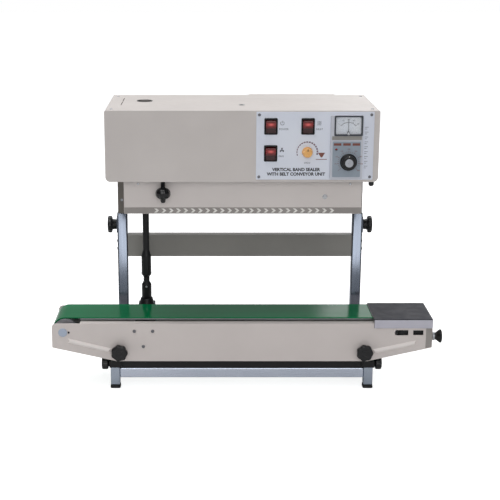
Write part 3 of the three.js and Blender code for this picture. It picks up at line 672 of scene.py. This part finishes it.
def build_tension_knob():
    """A short ribbed knob on the tension screw, with a steel collar. Its hub starts at X = x0."""
    node = "tension_knob"
    x0 = 373.4
    at = placed("x", (0, 12.0, 106.0))
    profile = [
        (0, 343), (4, 343), (4, x0), (7, x0), (7.3, x0 + 6.6), (8.4, x0 + 7.6), (12.6, x0 + 13.2),
        (13.3, x0 + 14.2), (13.3, x0 + 16), (12.2, x0 + 17), (8.6, x0 + 17.8), (3, x0 + 18.4), (0, x0 + 18.4),
    ]
    ribs = flutes(28, 0.05, x0 + 13.5, x0 + 17.0)
    shape = turned(soft_profile(profile, 0.7), 168, ribs)
    stand_in(node, "_moulding", moved(shape, at), "black", 40)
    collar = turned(soft_profile([(5, x0 - 0.6), (8.2, x0 - 0.6), (8.2, x0 + 3.4), (5, x0 + 3.4)], 0.4), 48)
    finish_piece(node + "_collar", moved(collar, at), "zinc", BODY_OF[node])


def build_pressure_screw():
    node = "pressure_screw"
    profile = [(0, 373.6), (3.4, 373.6), (4.9, 376.6), (5, 381), (8.4, 381.6), (12.4, 384.4), (14.1, 388.2),
               (14.2, 393.6), (12.9, 397.6), (9.8, 400.6), (5.4, 402.2), (4.6, 402.6), (0, 402.6)]
    shape = turned(soft_profile(profile, 0.9, 4), 120, flutes(10, 0.06, 382.5, 399.5))
    place = Matrix.Translation((-152, 10, 0))
    stand_in(node, "_grip", moved(shape, place), "black_gloss", 40)
    threads = [(0, 402.0), (4.4, 402.0)]
    for turn in range(25):
        z = 404.0 + turn * 1.4
        threads += [(4.4, z), (3.7, z + 0.7)]
    threads += [(4.4, 439.6), (0, 439.6)]
    finish_piece(node + "_stem", moved(turned(threads, 40), place), "black_steel", BODY_OF[node])


# ---- Stand ------------------------
def rubber_foot(node):
    """A rubber cap pushed over the end of a square tube, with a thicker sole."""
    low, high = box_mm(node)
    steps = [(1.4, 0.0), (0.3, 0.5), (0.0, 1.4), (0.0, 3.2), (0.4, 3.6), (0.4, 6.0), (0.8, 6.5), (1.6, 6.7)]
    rows = []
    for inset, z in steps:
        loop = rounded_rect(low.x + inset, high.x - inset, low.y + inset, high.y - inset, 3.2)
        rows.append([(u, v, z) for u, v in loop])
    stand_in(node, "_cap", rings(bmesh.new(), rows), "rubber", 50)


def build_post(word, side):
    """A square tube with rounded corners, open at both ends, and the welded boss of its clamp screw."""
    node = word + "_post"
    x, y = side * POST_X, 215.0
    face = POST_X + 10.5

    def loop(half, r, z):
        return [(u, v, z) for u, v in rounded_rect(x - half, x + half, y - half, y + half, r, 8)]

    tube = rings(bmesh.new(), [
        loop(8.8, 1.6, 7.0), loop(10.5, 3.0, 7.0), loop(10.5, 3.0, 307.4), loop(9.9, 2.6, 308.0),
        loop(9.4, 2.2, 308.0), loop(8.8, 1.6, 307.4), loop(8.8, 1.6, 7.0),
    ], closed_start=False, closed_end=False)
    # the posts' steel is painted in a darker tone, as painted shade
    stand_in(node, "_tube", tube, "stainless_z_painted_dark", 50)
    boss = rings(bmesh.new(), [
        [(u, v, w) for u, v in rounded_rect(y - 9 + i, y + 9 - i, 266 + i, 300 - i, 4.0)]
        for i, w in ((0.0, face - 0.4), (0.0, face + 0.8), (0.4, face + 1.3), (1.0, face + 1.5))
    ])
    boss.transform(Matrix(((0, 0, side, 0), (1, 0, 0, 0), (0, 1, 0, 0), (0, 0, 0, 1))))
    finish_piece(node + "_boss", boss, "stainless_z_painted_dark", BODY_OF[node])


def build_stand():
    for word, side in SIDES.items():
        build_post(word, side)
        # the side frames' steel has a middle tone, painted for how the light falls on them
        skin(word + "_side_frame", "stainless_y_painted_mid", 1.8)
        rubber_foot("front_" + word + "_foot")
        rubber_foot("rear_" + word + "_foot")
        for z in (231.0, 247.0):
            screw_head(word + "_crossbar_screw_" + str(int(z)), (side * (POST_X + 10.5), 215, z), "x",
                       side < 0, 3.2, "stand")
        skin(word + "_inner_leg", "dark_paint", 1.5)
        rivet = moved(turned([(0, 0), (2.6, 0), (2.5, 0.14), (0, 0.14)], 32),
                      facing_front(side * POST_X, 206.5, 336.6))
        finish_piece(word + "_leg_rivet", rivet, "zinc", "head")
    # painted highlight: the cross tube's steel is given a lighter tone
    skin("front_cross_tube", "stainless_x_painted_light", 1.8)
    skin("rear_crossbar", "bar_paint", 1.6)


# ---- Head sheet metal ------------------------
HEAD_SIDE_X = {"left": -260.0, "right": 254.0}
HEAD_TOP = 550.5


def build_head_shell():
    casing = skin("head_casing", "cream_paint", 1.2)
    for y in (79.0, 136.0):
        carved(casing, block((-234.4, y, 545.0), (-232.8, y + 46.0, 552.0)))
    small_hole = Matrix.Translation((-1.7, 79.0, HEAD_TOP))
    carved(casing, moved(turned([(0, -4), (3.4, -4), (3.4, 4), (0, 4)], 24), small_hole))
    large_hole = Matrix.Translation((-191, 138, HEAD_TOP))
    ring = turned(soft_profile([(12.6, 0), (15.4, 0), (15.4, 0.9), (12.6, 0.9)], 0.4), 64)
    grommet = finish_piece("top_hole_grommet", moved(ring, large_hole), "black", "head")
    carved(grommet, moved(turned([(0, -6), (12.4, -6), (12.4, 3), (0, 3)], 64), large_hole))
    ring = turned(soft_profile([(3.3, 0), (5.8, 0), (5.8, 0.7), (3.3, 0.7)], 0.3), 48)
    grommet = finish_piece("top_small_grommet", moved(ring, small_hole), "zinc", "head")
    carved(grommet, moved(turned([(0, -4), (3.2, -4), (3.2, 4), (0, 4)], 24), small_hole))
    for i, x in enumerate((-248.0, 242.0)):
        screw_head("top_screw_%d" % i, (x, 20.0, HEAD_TOP), "z", False, 2.6, "head")
        screw_head("top_back_screw_%d" % i, (x, 205.0, HEAD_TOP), "z", False, 2.6, "head")
    skin("rear_cover", "cream_paint", 1.2)
    build_wall_screws()
    build_vents()
    skin("head_base_plate", "zinc", 0.5)
    gland = [(0, 0), (6.4, 0), (6.4, 3), (5.2, 3.2), (5.2, 8.5), (3.4, 11.4), (0, 11.4)]
    under_head = placed("z", (244, 20, 415.6), True)
    finish_piece("cable_gland", moved(turned(soft_profile(gland, 0.6), 36), under_head), "black", "head")


def build_wall_screws():
    """The screws of the head's back, of its rear bulge and of both its ends."""
    back = [(x, z) for x in (-247, 241) for z in (428, 484, 538)] + [(x, 424) for x in (-110, 0, 110)]
    for i, (x, z) in enumerate(back):
        screw_head("back_screw_%d" % i, (x, 232.0, z), "y", False, 2.8, "head")
    bulge = [(x, z) for z in (447, 541) for x in (24, 188)]
    for i, (x, z) in enumerate(bulge):
        screw_head("bulge_screw_%d" % i, (x, 262.0, z), "y", False, 2.4, "head", height=1.2)
    flank = [(30, 430), (120, 430), (205, 430), (30, 535), (205, 535)]
    for word, side in SIDES.items():
        for i, (y, z) in enumerate(flank):
            screw_head("%s_side_screw_%d" % (word, i), (HEAD_SIDE_X[word], y, z), "x", side < 0, 2.6, "head")


def build_vents():
    """A block of louvres pressed out of the back bulge, over the blower: hoods, each over a thin dark sheet
    that is painted shade for the opening under it.
    """
    for i in range(7):
        z = 464.0 + 10.0 * i
        # painted shade: a thin dark sheet where each louvre's opening would be
        slot = block((48, 262.0, z - 2.6), (164, 262.25, z + 0.4))
        finish_piece("vent_slot_shade_%d" % i, slot, "ink", "head")
        hood = rings(bmesh.new(), [
            [(x, 262.0, z + 0.4), (x, lip, z + 0.1), (x, lip, z + 0.9), (x, 262.0, z + top)]
            for x, lip, top in ((46, 264.6, 4.4), (50, 265.4, 4.8), (162, 265.4, 4.8), (166, 264.6, 4.4))
        ])
        finish_piece("vent_hood_%d" % i, hood, "cream_paint", "head", bevel=0.3)


def build_guard():
    skin("seal_guard", "guard_paint", 1.3)
    strip = block((-227.0, 24.4, 349.2), (227.0, 25.2, 360.9))
    finish_piece("guard_band", strip, "band_paint", BODY_OF["seal_guard"], bevel=0.3)
    marks = []
    for i in range(25):
        x = -170.0 + 14.0 * i
        marks.append([(x, 351.0), (x + 5.0, 351.0), (x + 9.6, 355.1), (x + 5.0, 359.2), (x, 359.2),
                      (x + 4.6, 355.1)])
    mark("feed_arrows", marks, "ink_white", facing_front(0, 24.4, 0), BODY_OF["seal_guard"])
    hex_bolt("guard_bolt", (157.1, 25.0, 382.1), "y", True, 3.4, BODY_OF["seal_guard"])
    for i, x in enumerate((-200.0, 205.0)):
        screw_head("guard_screw_%d" % i, (x, 25.0, 407.0), "y", True, 2.4, BODY_OF["seal_guard"])


# ---- Control panel ------------------------
PANEL_FACE = -1.8
BEZEL_FACE = -8.1
LOWER_PLATE_FACE = BEZEL_FACE - 0.35
ON_PANEL = facing_front(0, PANEL_FACE, 0)
ON_BEZEL = facing_front(0, BEZEL_FACE, 0)
ON_LOWER_PLATE = facing_front(0, LOWER_PLATE_FACE, 0)


def mark(name, parts, look, at, body="head", lift=0.12):
    """Printed marks: flat outlines of (x, z) points, a hair thick, on a face that looks to the front."""
    shapes = [extruded(points, 0.0, lift) for points in parts]
    return finish_piece(name, moved(merged(*shapes), at), look, body)


def bar_mark(x0, z0, x1, z1, width):
    """The four corners of a straight line of a given width."""
    a, b = Vector((x0, z0)), Vector((x1, z1))
    side = (b - a).normalized().orthogonal() * width / 2
    return [tuple(a - side), tuple(b - side), tuple(b + side), tuple(a + side)]


def ring_mark(x, z, r, width, start=0.0, end=360.0, pieces=24):
    """A thin ring or arc, as a row of short quads."""
    out = []
    for k in range(pieces):
        a = math.radians(start + (end - start) * k / pieces)
        b = math.radians(start + (end - start) * (k + 1.04) / pieces)
        corners = ((b, -width / 2), (b, width / 2), (a, width / 2), (a, -width / 2))
        out.append([polar(x, z, r + offset, t) for t, offset in corners])
    return out


def words(name, text, x, z, height, look, at, body="head", align="LEFT", bold=0.0):
    """A short plain caption or number, printed like a mark."""
    curve = bpy.data.curves.new(name, "FONT")
    curve.body = text
    curve.size = height / 0.7
    curve.align_x = align
    curve.align_y = "CENTER"
    curve.extrude = 0.06
    curve.offset = bold
    curve.resolution_u = 3
    source = bpy.data.objects.new(name + "_text", curve)
    bpy.context.scene.collection.objects.link(source)
    bpy.context.view_layer.update()
    mesh = bpy.data.meshes.new_from_object(source.evaluated_get(bpy.context.evaluated_depsgraph_get()))
    bpy.data.objects.remove(source)
    bpy.data.curves.remove(curve)
    bm = bmesh.new()
    bm.from_mesh(mesh)
    bpy.data.meshes.remove(mesh)
    bm.transform(at @ Matrix.Translation((x, z, 0.06)))
    return finish_piece(name, bm, look, body)


def open_frame(x0, x1, z0, z1, steps):
    """A frame round an opening. Each step is an inset from the outer edge, and the height it has there."""
    return rings(bmesh.new(), [
        [(u, v, w) for u, v in rounded_rect(x0 + i, x1 - i, z0 + i, z1 - i, 2.2)] for i, w in steps
    ], closed_start=False, closed_end=False)


def rocker_switch(node, icon, caption):
    """A red rocker with a painted highlight, in a black bezel, with its icon and caption beside it."""
    x, z = centre_mm(node).x, {"power_rocker": 521.5, "heater_rocker": 521.5, "fan_rocker": 470.6}[node]
    steps = [(0.0, 0.0), (0.0, 1.0), (0.5, 1.8), (1.2, 2.1), (2.0, 2.1), (2.5, 1.5), (2.6, -6.0)]
    bezel = open_frame(x - 12.5, x + 12.5, z - 15.5, z + 15.5, steps)
    finish_piece(node + "_bezel", moved(bezel, ON_PANEL), "black_gloss", "head", sharp=40)
    skin(node, "red", 1.5, 4, sharp=50)
    mark(node + "_icon", icon(x + 21.0, z + 6.0), "ink_grey", ON_PANEL)
    words(node + "_caption", caption, x + 15.0, z - 5.5, 3.6, "ink_grey", ON_PANEL)


def power_icon(x, z):
    return ring_mark(x, z, 3.4, 0.8, 125, 415, 20) + [bar_mark(x, z, x, z + 4.4, 0.8)]


def heat_icon(x, z):
    out = []
    for dx in (-2.6, 0.0, 2.6):
        for k in range(6):
            za, zb = z - 4 + 1.3 * k, z - 4 + 1.3 * (k + 1)
            wave = 0.7 if k % 2 else -0.7
            out.append(bar_mark(x + dx + wave, za, x + dx - wave, zb, 0.7))
    return out


def fan_icon(x, z):
    out = ring_mark(x, z, 0.9, 1.2, pieces=10)
    for k in range(3):
        t = math.radians(90 + 120 * k)
        cx, cz = polar(x, z, 2.9, t)
        turns = [t + 2 * math.pi * i / 12 for i in range(12)]
        out.append([(cx + 1.5 * math.cos(turn), cz + 1.9 * math.sin(turn)) for turn in turns])
    return out


def build_panel():
    skin("control_panel", "panel", 0.4, 2)
    for i, (x, z) in enumerate([(29.0, 426.0), (237.7, 426.0), (29.0, 543.2), (237.7, 543.2)]):
        screw_head("panel_screw_%d" % i, (x, PANEL_FACE, z), "y", True, 2.7, "head", "dark_screw")
    rocker_switch("power_rocker", power_icon, "POWER")
    rocker_switch("heater_rocker", heat_icon, "HEAT")
    rocker_switch("fan_rocker", fan_icon, "FAN")
    build_speed_control()
    for name, text, z in (("panel_title", "VERTICAL BAND SEALER", 439.6),
                          ("panel_subtitle", "WITH BELT CONVEYOR UNIT", 431.0)):
        words(name, text, 99.0, z, 5.7, "ink", ON_PANEL, align="CENTER", bold=0.34)
    column = []
    for k in range(9):
        z = 520.0 - 9.2 * k
        column += [bar_mark(226.0, z, 232.6, z, 0.7), bar_mark(226.0, z - 3.4, 230.2, z - 3.4, 0.7)]
    mark("panel_side_marks", column, "ink_grey", ON_PANEL)


def build_speed_control():
    node = "speed_knob"
    x, z, r = 119.5, 473.0, 10.0
    profile = [
        (0, 0.3), (r, 0.3), (r, 2.6), (r * 0.93, 3.6), (r * 0.88, 5), (r * 0.84, 13.6), (r * 0.76, 15.2),
        (r * 0.52, 15.25), (r * 0.48, 14.7), (0, 14.7),
    ]
    shape = turned(soft_profile(profile, 0.5), 144, flutes(24, 0.07, 4.2, 14.4))
    stand_in(node, "_moulding", moved(shape, facing_front(x, PANEL_FACE, z)), "cream_knob", 40)
    pointer = [bar_mark(x, z + 3.6, x, z + 8.2, 1.3)]
    mark("speed_knob_pointer", pointer, "ink", facing_front(0, -17.05, 0), BODY_OF[node])
    scale = []
    for k in range(15):
        a, b = math.radians(200 - 220 * k / 15), math.radians(200 - 220 * (k + 0.72) / 15)
        thick = 1.6 + 1.6 * k / 15
        corners = ((a, 20.4 - thick), (a, 20.4), (b, 20.4), (b, 20.4 - thick))
        scale.append([polar(x, z, q, t) for t, q in corners])
    mark("speed_scale", scale, "ink_violet", ON_PANEL)
    triangle = [(x + 20.0, 471.8), (x + 25.4, 463.0), (x + 27.8, 463.0), (x + 33.2, 471.8)]
    mark("speed_triangle", [triangle], "ink_red", ON_PANEL)
    mark("speed_line", [bar_mark(x + 16.0, 459.4, x + 37.0, 459.4, 1.2)], "ink_red", ON_PANEL)
    words("speed_caption", "SPEED", x, 452.5, 3.0, "ink_grey", ON_PANEL, align="CENTER")


def build_controller():
    skin("temperature_controller", "grey_plastic", 1.4)
    plate = extruded(rounded_rect(166.0, 218.6, 426.6, 494.0, 2.0), 0.0, 0.35)
    finish_piece("controller_lower_plate", moved(plate, ON_BEZEL), "controller_plate", "head", bevel=0.15)
    x0, x1, z0, z1 = 171.0, 219.0, 507.0, 540.0
    face = extruded(rounded_rect(x0 + 0.4, x1 - 0.4, z0 + 0.4, z1 - 0.4, 1.0), -6.2, -5.6)
    finish_piece("meter_face", moved(face, ON_BEZEL), "white_plastic", "head")
    steps = [(0.0, 0.0), (0.0, 0.8), (0.4, 1.2), (2.2, 1.2), (2.8, 0.6), (2.9, -6.0)]
    rim = open_frame(x0 - 2.6, x1 + 2.6, z0 - 2.6, z1 + 2.6, steps)
    finish_piece("meter_rim", moved(rim, ON_BEZEL), "meter_frame", "head", sharp=40)
    pane = extruded(rounded_rect(x0 + 0.2, x1 - 0.2, z0 + 0.2, z1 - 0.2, 1.0), -0.6, 0.2)
    finish_piece("meter_pane", moved(pane, ON_BEZEL), "glass", "head")
    build_meter_scale((x0 + x1) / 2, z0 + 4.0)
    blade = extruded(bar_mark(195, 511, 195, 535, 0.8), -4.0, -3.2)
    pivot = turned([(0, -4.6), (2.2, -4.6), (2.2, -2.6), (0, -2.6)], 32)
    needle = merged(moved(blade, ON_BEZEL), moved(pivot, facing_front(195, BEZEL_FACE, 511)))
    stand_in("meter_needle", "_blade", needle, "ink")
    screw_head("meter_hub_screw", (195.0, BEZEL_FACE - 0.6, 508.6), "y", True, 2.8, "head")
    band = extruded(rounded_rect(164.6, 220.0, 496.9, 504.0, 1.0), 0.0, 0.5)
    finish_piece("meter_lower_band", moved(band, ON_BEZEL), "bar_paint", "head", bevel=0.3)
    build_dial()


def tick_mark(x, z, r, length, degrees, width):
    """A short line that points away from a dial's centre."""
    t = math.radians(degrees)
    return bar_mark(*polar(x, z, r, t), *polar(x, z, r + length, t), width)


def build_meter_scale(x, z):
    face = facing_front(0, BEZEL_FACE + 5.6, 0)
    ticks = ring_mark(x, z, 17.5, 0.45, 40, 140, 24)
    for k in range(21):
        ticks.append(tick_mark(x, z, 17.5, 3.6 if k % 5 == 0 else 1.9, 140 - 5 * k, 0.5))
    mark("meter_scale", ticks, "ink", face)
    for k in range(5):
        place = polar(x, z, 23.4, math.radians(140 - 25 * k))
        words("meter_number_%d" % k, str(100 * k), *place, 2.2, "ink", face, align="CENTER")


def build_dial():
    node = "temperature_dial"
    x, z, r = 196.3, 455.1, 16.0
    at = facing_front(x, BEZEL_FACE, z)
    profile = [
        (0, 0.3), (r, 0.3), (r, 2.6), (r * 0.95, 3.4), (r * 0.88, 4.0), (r * 0.84, 11.4), (r * 0.76, 13.1),
        (r * 0.54, 13.2), (0, 13.2),
    ]
    shape = turned(soft_profile(profile, 0.5), 180, flutes(30, 0.05, 3.9, 12.4))
    stand_in(node, "_moulding", moved(shape, at), "black", 40)
    cap = turned(soft_profile([(0, 12.6), (8.0, 12.6), (8.0, 13.1), (7.3, 13.28), (0, 13.28)], 0.15), 64)
    finish_piece(node + "_cap", moved(cap, at), "aluminium", BODY_OF[node])
    pointer = [bar_mark(x, z + 9.0, x, z + 13.0, 1.3)]
    mark(node + "_pointer", pointer, "ink_white", facing_front(0, BEZEL_FACE - 13.0, 0), BODY_OF[node])
    ticks = []
    for k in range(25):
        ticks.append(tick_mark(x, z, 18.2, 3.4 if k % 3 == 0 else 1.8, 220 - 260 * k / 24, 0.7))
    mark("dial_scale", ticks, "ink_red", ON_LOWER_PLATE)
    for k in range(9):
        place = polar(x, z, 24.6, math.radians(220 - 260 * k / 8))
        words("dial_number_%d" % k, str(50 * k), *place, 2.4, "ink_red", ON_LOWER_PLATE, align="CENTER")
    caption = [bar_mark(168.0 + 17.5 * k, 488.6, 182.0 + 17.5 * k, 488.6, 4.6) for k in range(3)]
    mark("controller_caption", caption, "ink_red", ON_LOWER_PLATE)
    lamp = turned(soft_profile([(0, 0), (2.2, 0), (2.2, 0.5), (1.5, 1.3), (0, 1.6)], 0.3), 32)
    finish_piece("controller_lamp", moved(lamp, facing_front(173.0, LOWER_PLATE_FACE, 479.0)), "red", "head")


# ---- Sealing line and drive ------------------------
def build_sealing_line():
    looks = {"drive_wheel": "aluminium", "idler_wheel": "aluminium", "pressure_roller": "rubber",
             "heater_block": "brass", "cooling_block": "aluminium", "seal_band": "tape"}
    for row in ("front", "rear"):
        for kind, look in looks.items():
            skin(row + "_" + kind, look, 0.5, 2)
    skin("gear_motor", "black_steel", 1.0)
    skin("cooling_fan", "black", 0.4, 2)


def build_drive_shaft():
    place = Matrix.Translation((-193, 158, 0))
    tube = moved(turned(soft_profile([(0, 350), (9.5, 350), (9.5, 476), (0, 476)], 0.6), 64), place)
    sleeve = "upper_drive_sleeve"
    piece = finish_piece("drive_sleeve_tube", tube, "black_steel", BODY_OF[sleeve],
                         (sleeve,))
    carved(piece, moved(turned([(0, 346), (7.0, 346), (7.0, 480), (0, 480)], 64), place))
    rod = [(0, 187), (6.4, 187), (10, 190.5), (10, 229), (9.4, 232), (7.0, 241.5), (6.6, 243), (6.6, 420),
           (0, 420)]
    yoke = [(0, 141.6), (10, 141.6), (10, 169.8), (7.4, 174.4), (6.3, 176), (6.3, 186), (0, 186)]
    for node, profile in (("drive_rod", rod), ("lower_drive_yoke", yoke)):
        stand_in(node, "_shaft", moved(turned(soft_profile(profile, 0.8), 64), place), "black_steel")
    for name, z, axis, body in (("upper_pin", 193.6, "x", "drive_rod"),
                                ("lower_pin", 166.4, "y", "lower_drive_yoke")):
        pin = turned(soft_profile([(0, -10.4), (2.2, -10.4), (2.2, 10.4), (0, 10.4)], 0.3), 24)
        finish_piece("universal_joint_" + name, moved(pin, place @ placed(axis, (0, 0, z))), "zinc",
                     BODY_OF[body])
    bellows = [(0, 186.2)]
    for fold in range(4):
        bellows += [(6.0, 186.3 + 0.16 * fold), (6.9, 186.38 + 0.16 * fold)]
    bellows += [(0, 187.0)]
    finish_piece("universal_joint_seal", moved(turned(bellows, 48), place), "rubber", BODY_OF["drive_rod"])


# ---- Conveyor ------------------------
AXIS_Z = 116.5
BELT_PATH = {"x0": -346.0, "x1": 312.0, "r": 24.0, "t": 2.0, "y0": 17.0, "y1": 105.0}


def belt_section(x, z, nx, nz):
    """The belt's cross-section at one place: a thin rectangle with worn edges, square to the belt's run."""
    p = BELT_PATH
    inner, outer, edge = 0.0, p["t"], 0.35
    corners = [(p["y0"], inner), (p["y1"], inner), (p["y1"], outer - edge), (p["y1"] - edge, outer),
               (p["y0"] + edge, outer), (p["y0"], outer - edge)]
    return [(x + nx * d, y, z + nz * d) for y, d in corners]


def build_belt():
    p = BELT_PATH
    path = []
    for x, start in ((p["x1"], -90), (p["x0"], 90)):
        for k in range(33):
            t = math.radians(start + 180 * k / 32)
            path.append((x, math.cos(t), math.sin(t)))
    rows = [belt_section(x + p["r"] * c, AXIS_Z + p["r"] * s, c, s) for x, c, s in path]
    bm = bmesh.new()
    rings(bm, rows + [rows[0]], closed_start=False, closed_end=False)
    finish_piece("belt_loop", bm, "belt", BODY_OF["conveyor_belt"],
                 ("conveyor_belt",), 40)


def lathe_roller(node, look, x, z, r, bored=False, start=0.3):
    y = [17.9, 104.1]
    profile = [
        (0, start), (5, start), (5, y[0]), (r - 0.8, y[0]), (r, y[0] + 0.8), (r, y[1] - 0.8), (r - 0.8, y[1]),
        (5, y[1]), (5, 121.7), (0, 121.7),
    ]
    if bored:
        profile = [(0, y[0])] + profile[3:7] + [(0, y[1])]
    shape = moved(turned(profile, 96), placed("y", (x, 0, z)))
    piece = stand_in(node, "_shell", shape, look)
    if bored:
        carved(piece, moved(turned([(0, 10), (5.4, 10), (5.4, 112), (0, 112)], 48), placed("y", (x, 0, z))))


RIB_SECTION = ((-4.6, 0.0), (-3.4, 1.6), (-2.0, 2.9), (-0.4, 3.6), (1.4, 3.4), (3.0, 2.2), (4.2, 0.8),
               (4.8, 0.0))


def embossed_rib(name, x0, z0, x1, z1):
    """A soft raised rib that runs along a sloping edge of the front side plate, in a paint lighter than the
    plate's as a painted highlight.
    """
    a, b = Vector((x0, z0)), Vector((x1, z1))
    along = (b - a).normalized()
    side = Vector((-along.y, along.x))
    if side.y < 0:
        side = -side
    rows = []
    for offset, lift in RIB_SECTION:
        p, q = a + side * offset, b + side * offset
        ends = lift * 1.2
        p, q = p + along * ends, q - along * ends
        rows.append([(p.x, -lift, p.y), (q.x, -lift, q.y), (q.x, 0.3, q.y), (p.x, 0.3, p.y)])
    finish_piece(name, rings(bmesh.new(), rows), "rib_highlight_paint", "conveyor", sharp=60)


def build_conveyor():
    plate = skin("front_side_plate", "plate_paint", 0.9)
    carved(plate, block((333.4, -3.0, 111.6), (353.4, 5.0, 121.4)))
    carved(plate, moved(turned([(0, -4), (5.5, -4), (5.5, 4), (0, 4)], 40), placed("y", (302.9, 0, AXIS_Z))))
    skin("rear_side_plate", "plate_paint", 0.9)
    embossed_rib("left_taper_rib", -341.0, 100.4, -256.0, 79.6)
    embossed_rib("right_taper_rib", 256.0, 77.6, 341.0, 96.6)
    for side_word, y, flip in (("front", 0.0, True), ("rear", 122.0, False)):
        for i, (x, z) in enumerate([(-210.0, 119.6), (-174.4, 119.6), (-192.7, 88.3)]):
            screw_head("%s_plate_screw_%d" % (side_word, i), (x, y, z), "y", flip, 3.3, "conveyor",
                       "dark_screw")
        cap = turned(soft_profile([(0, 0), (8.6, 0), (8.6, 1.4), (7.6, 2.2), (0, 2.2)], 0.5), 48)
        finish_piece(side_word + "_idler_cap", moved(cap, placed("y", (-349.5, y, 117.0), flip)), "cap_blue",
                     "conveyor")
        dot = turned([(0, 0), (2.1, 0), (2.1, 1.0), (0, 1.0)], 24)
        finish_piece(side_word + "_idler_dot", moved(dot, placed("y", (-337.9, y, 117.1), flip)), "ink",
                     "conveyor")
    build_belt()
    skin("belt_bed", "zinc", 0.3, 2)
    lathe_roller("idler_roller", "aluminium", -346.0, AXIS_Z, 23.7)
    lathe_roller("drive_roller", "rubber", -193.0, 112.8, 20.0, start=box_mm("drive_roller")[0].y)
    lathe_roller("tension_roller", "aluminium", 312.0, AXIS_Z, 23.7, True)
    skin("tension_carriage", "black_steel", 0.5)
    build_end_strip()
    skin("conveyor_gearbox", "black_steel", 1.4)
    for i, (x, z) in enumerate([(-205, 81), (-181, 81), (-205, 123), (-181, 123)]):
        screw_head("gearbox_screw_%d" % i, (x, 179.0, z), "y", False, 2.8, "conveyor", height=1.6)
    skin("conveyor_carrier", "black_steel", 1.0)
    build_table()


def build_end_strip():
    """A darker strip over the right end of the front side plate: painted shade where that end of the plate
    falls in shadow.
    """
    outline = [(358.5, 85.2), (370.6, 87.8), (370.6, 125.6), (358.5, 125.6)]
    strip = moved(extruded(outline, 0.0, 0.8), facing_front(0, 0, 0))
    finish_piece("conveyor_end_shade_strip", strip, "band_paint", "conveyor", bevel=0.2)


def build_table():
    skin("table_plate", "slate", 0.7)
    body = BODY_OF["table_plate"]
    skirt = block((257.4, -2.05, 126.2), (370.7, -1.75, 142.9))
    finish_piece("table_front_face", skirt, "slate_edge", body, bevel=0.1)
    # painted shade: a thin black strip along the table's left edge stands for the shadow in the gap where the
    # table meets the belt
    strip = block((255.6, 12.0, 142.8), (257.2, 106.0, 144.1))
    finish_piece("table_edge_shade_strip", strip, "black", body, bevel=0.3)


# ---- The whole machine ------------------------
LOOKS.update(make_materials())
make_studio()
make_camera()
make_floor()
build_stand()
build_head_shell()
build_guard()
build_panel()
build_controller()
build_sealing_line()
build_drive_shaft()
build_conveyor()
build_knobs()
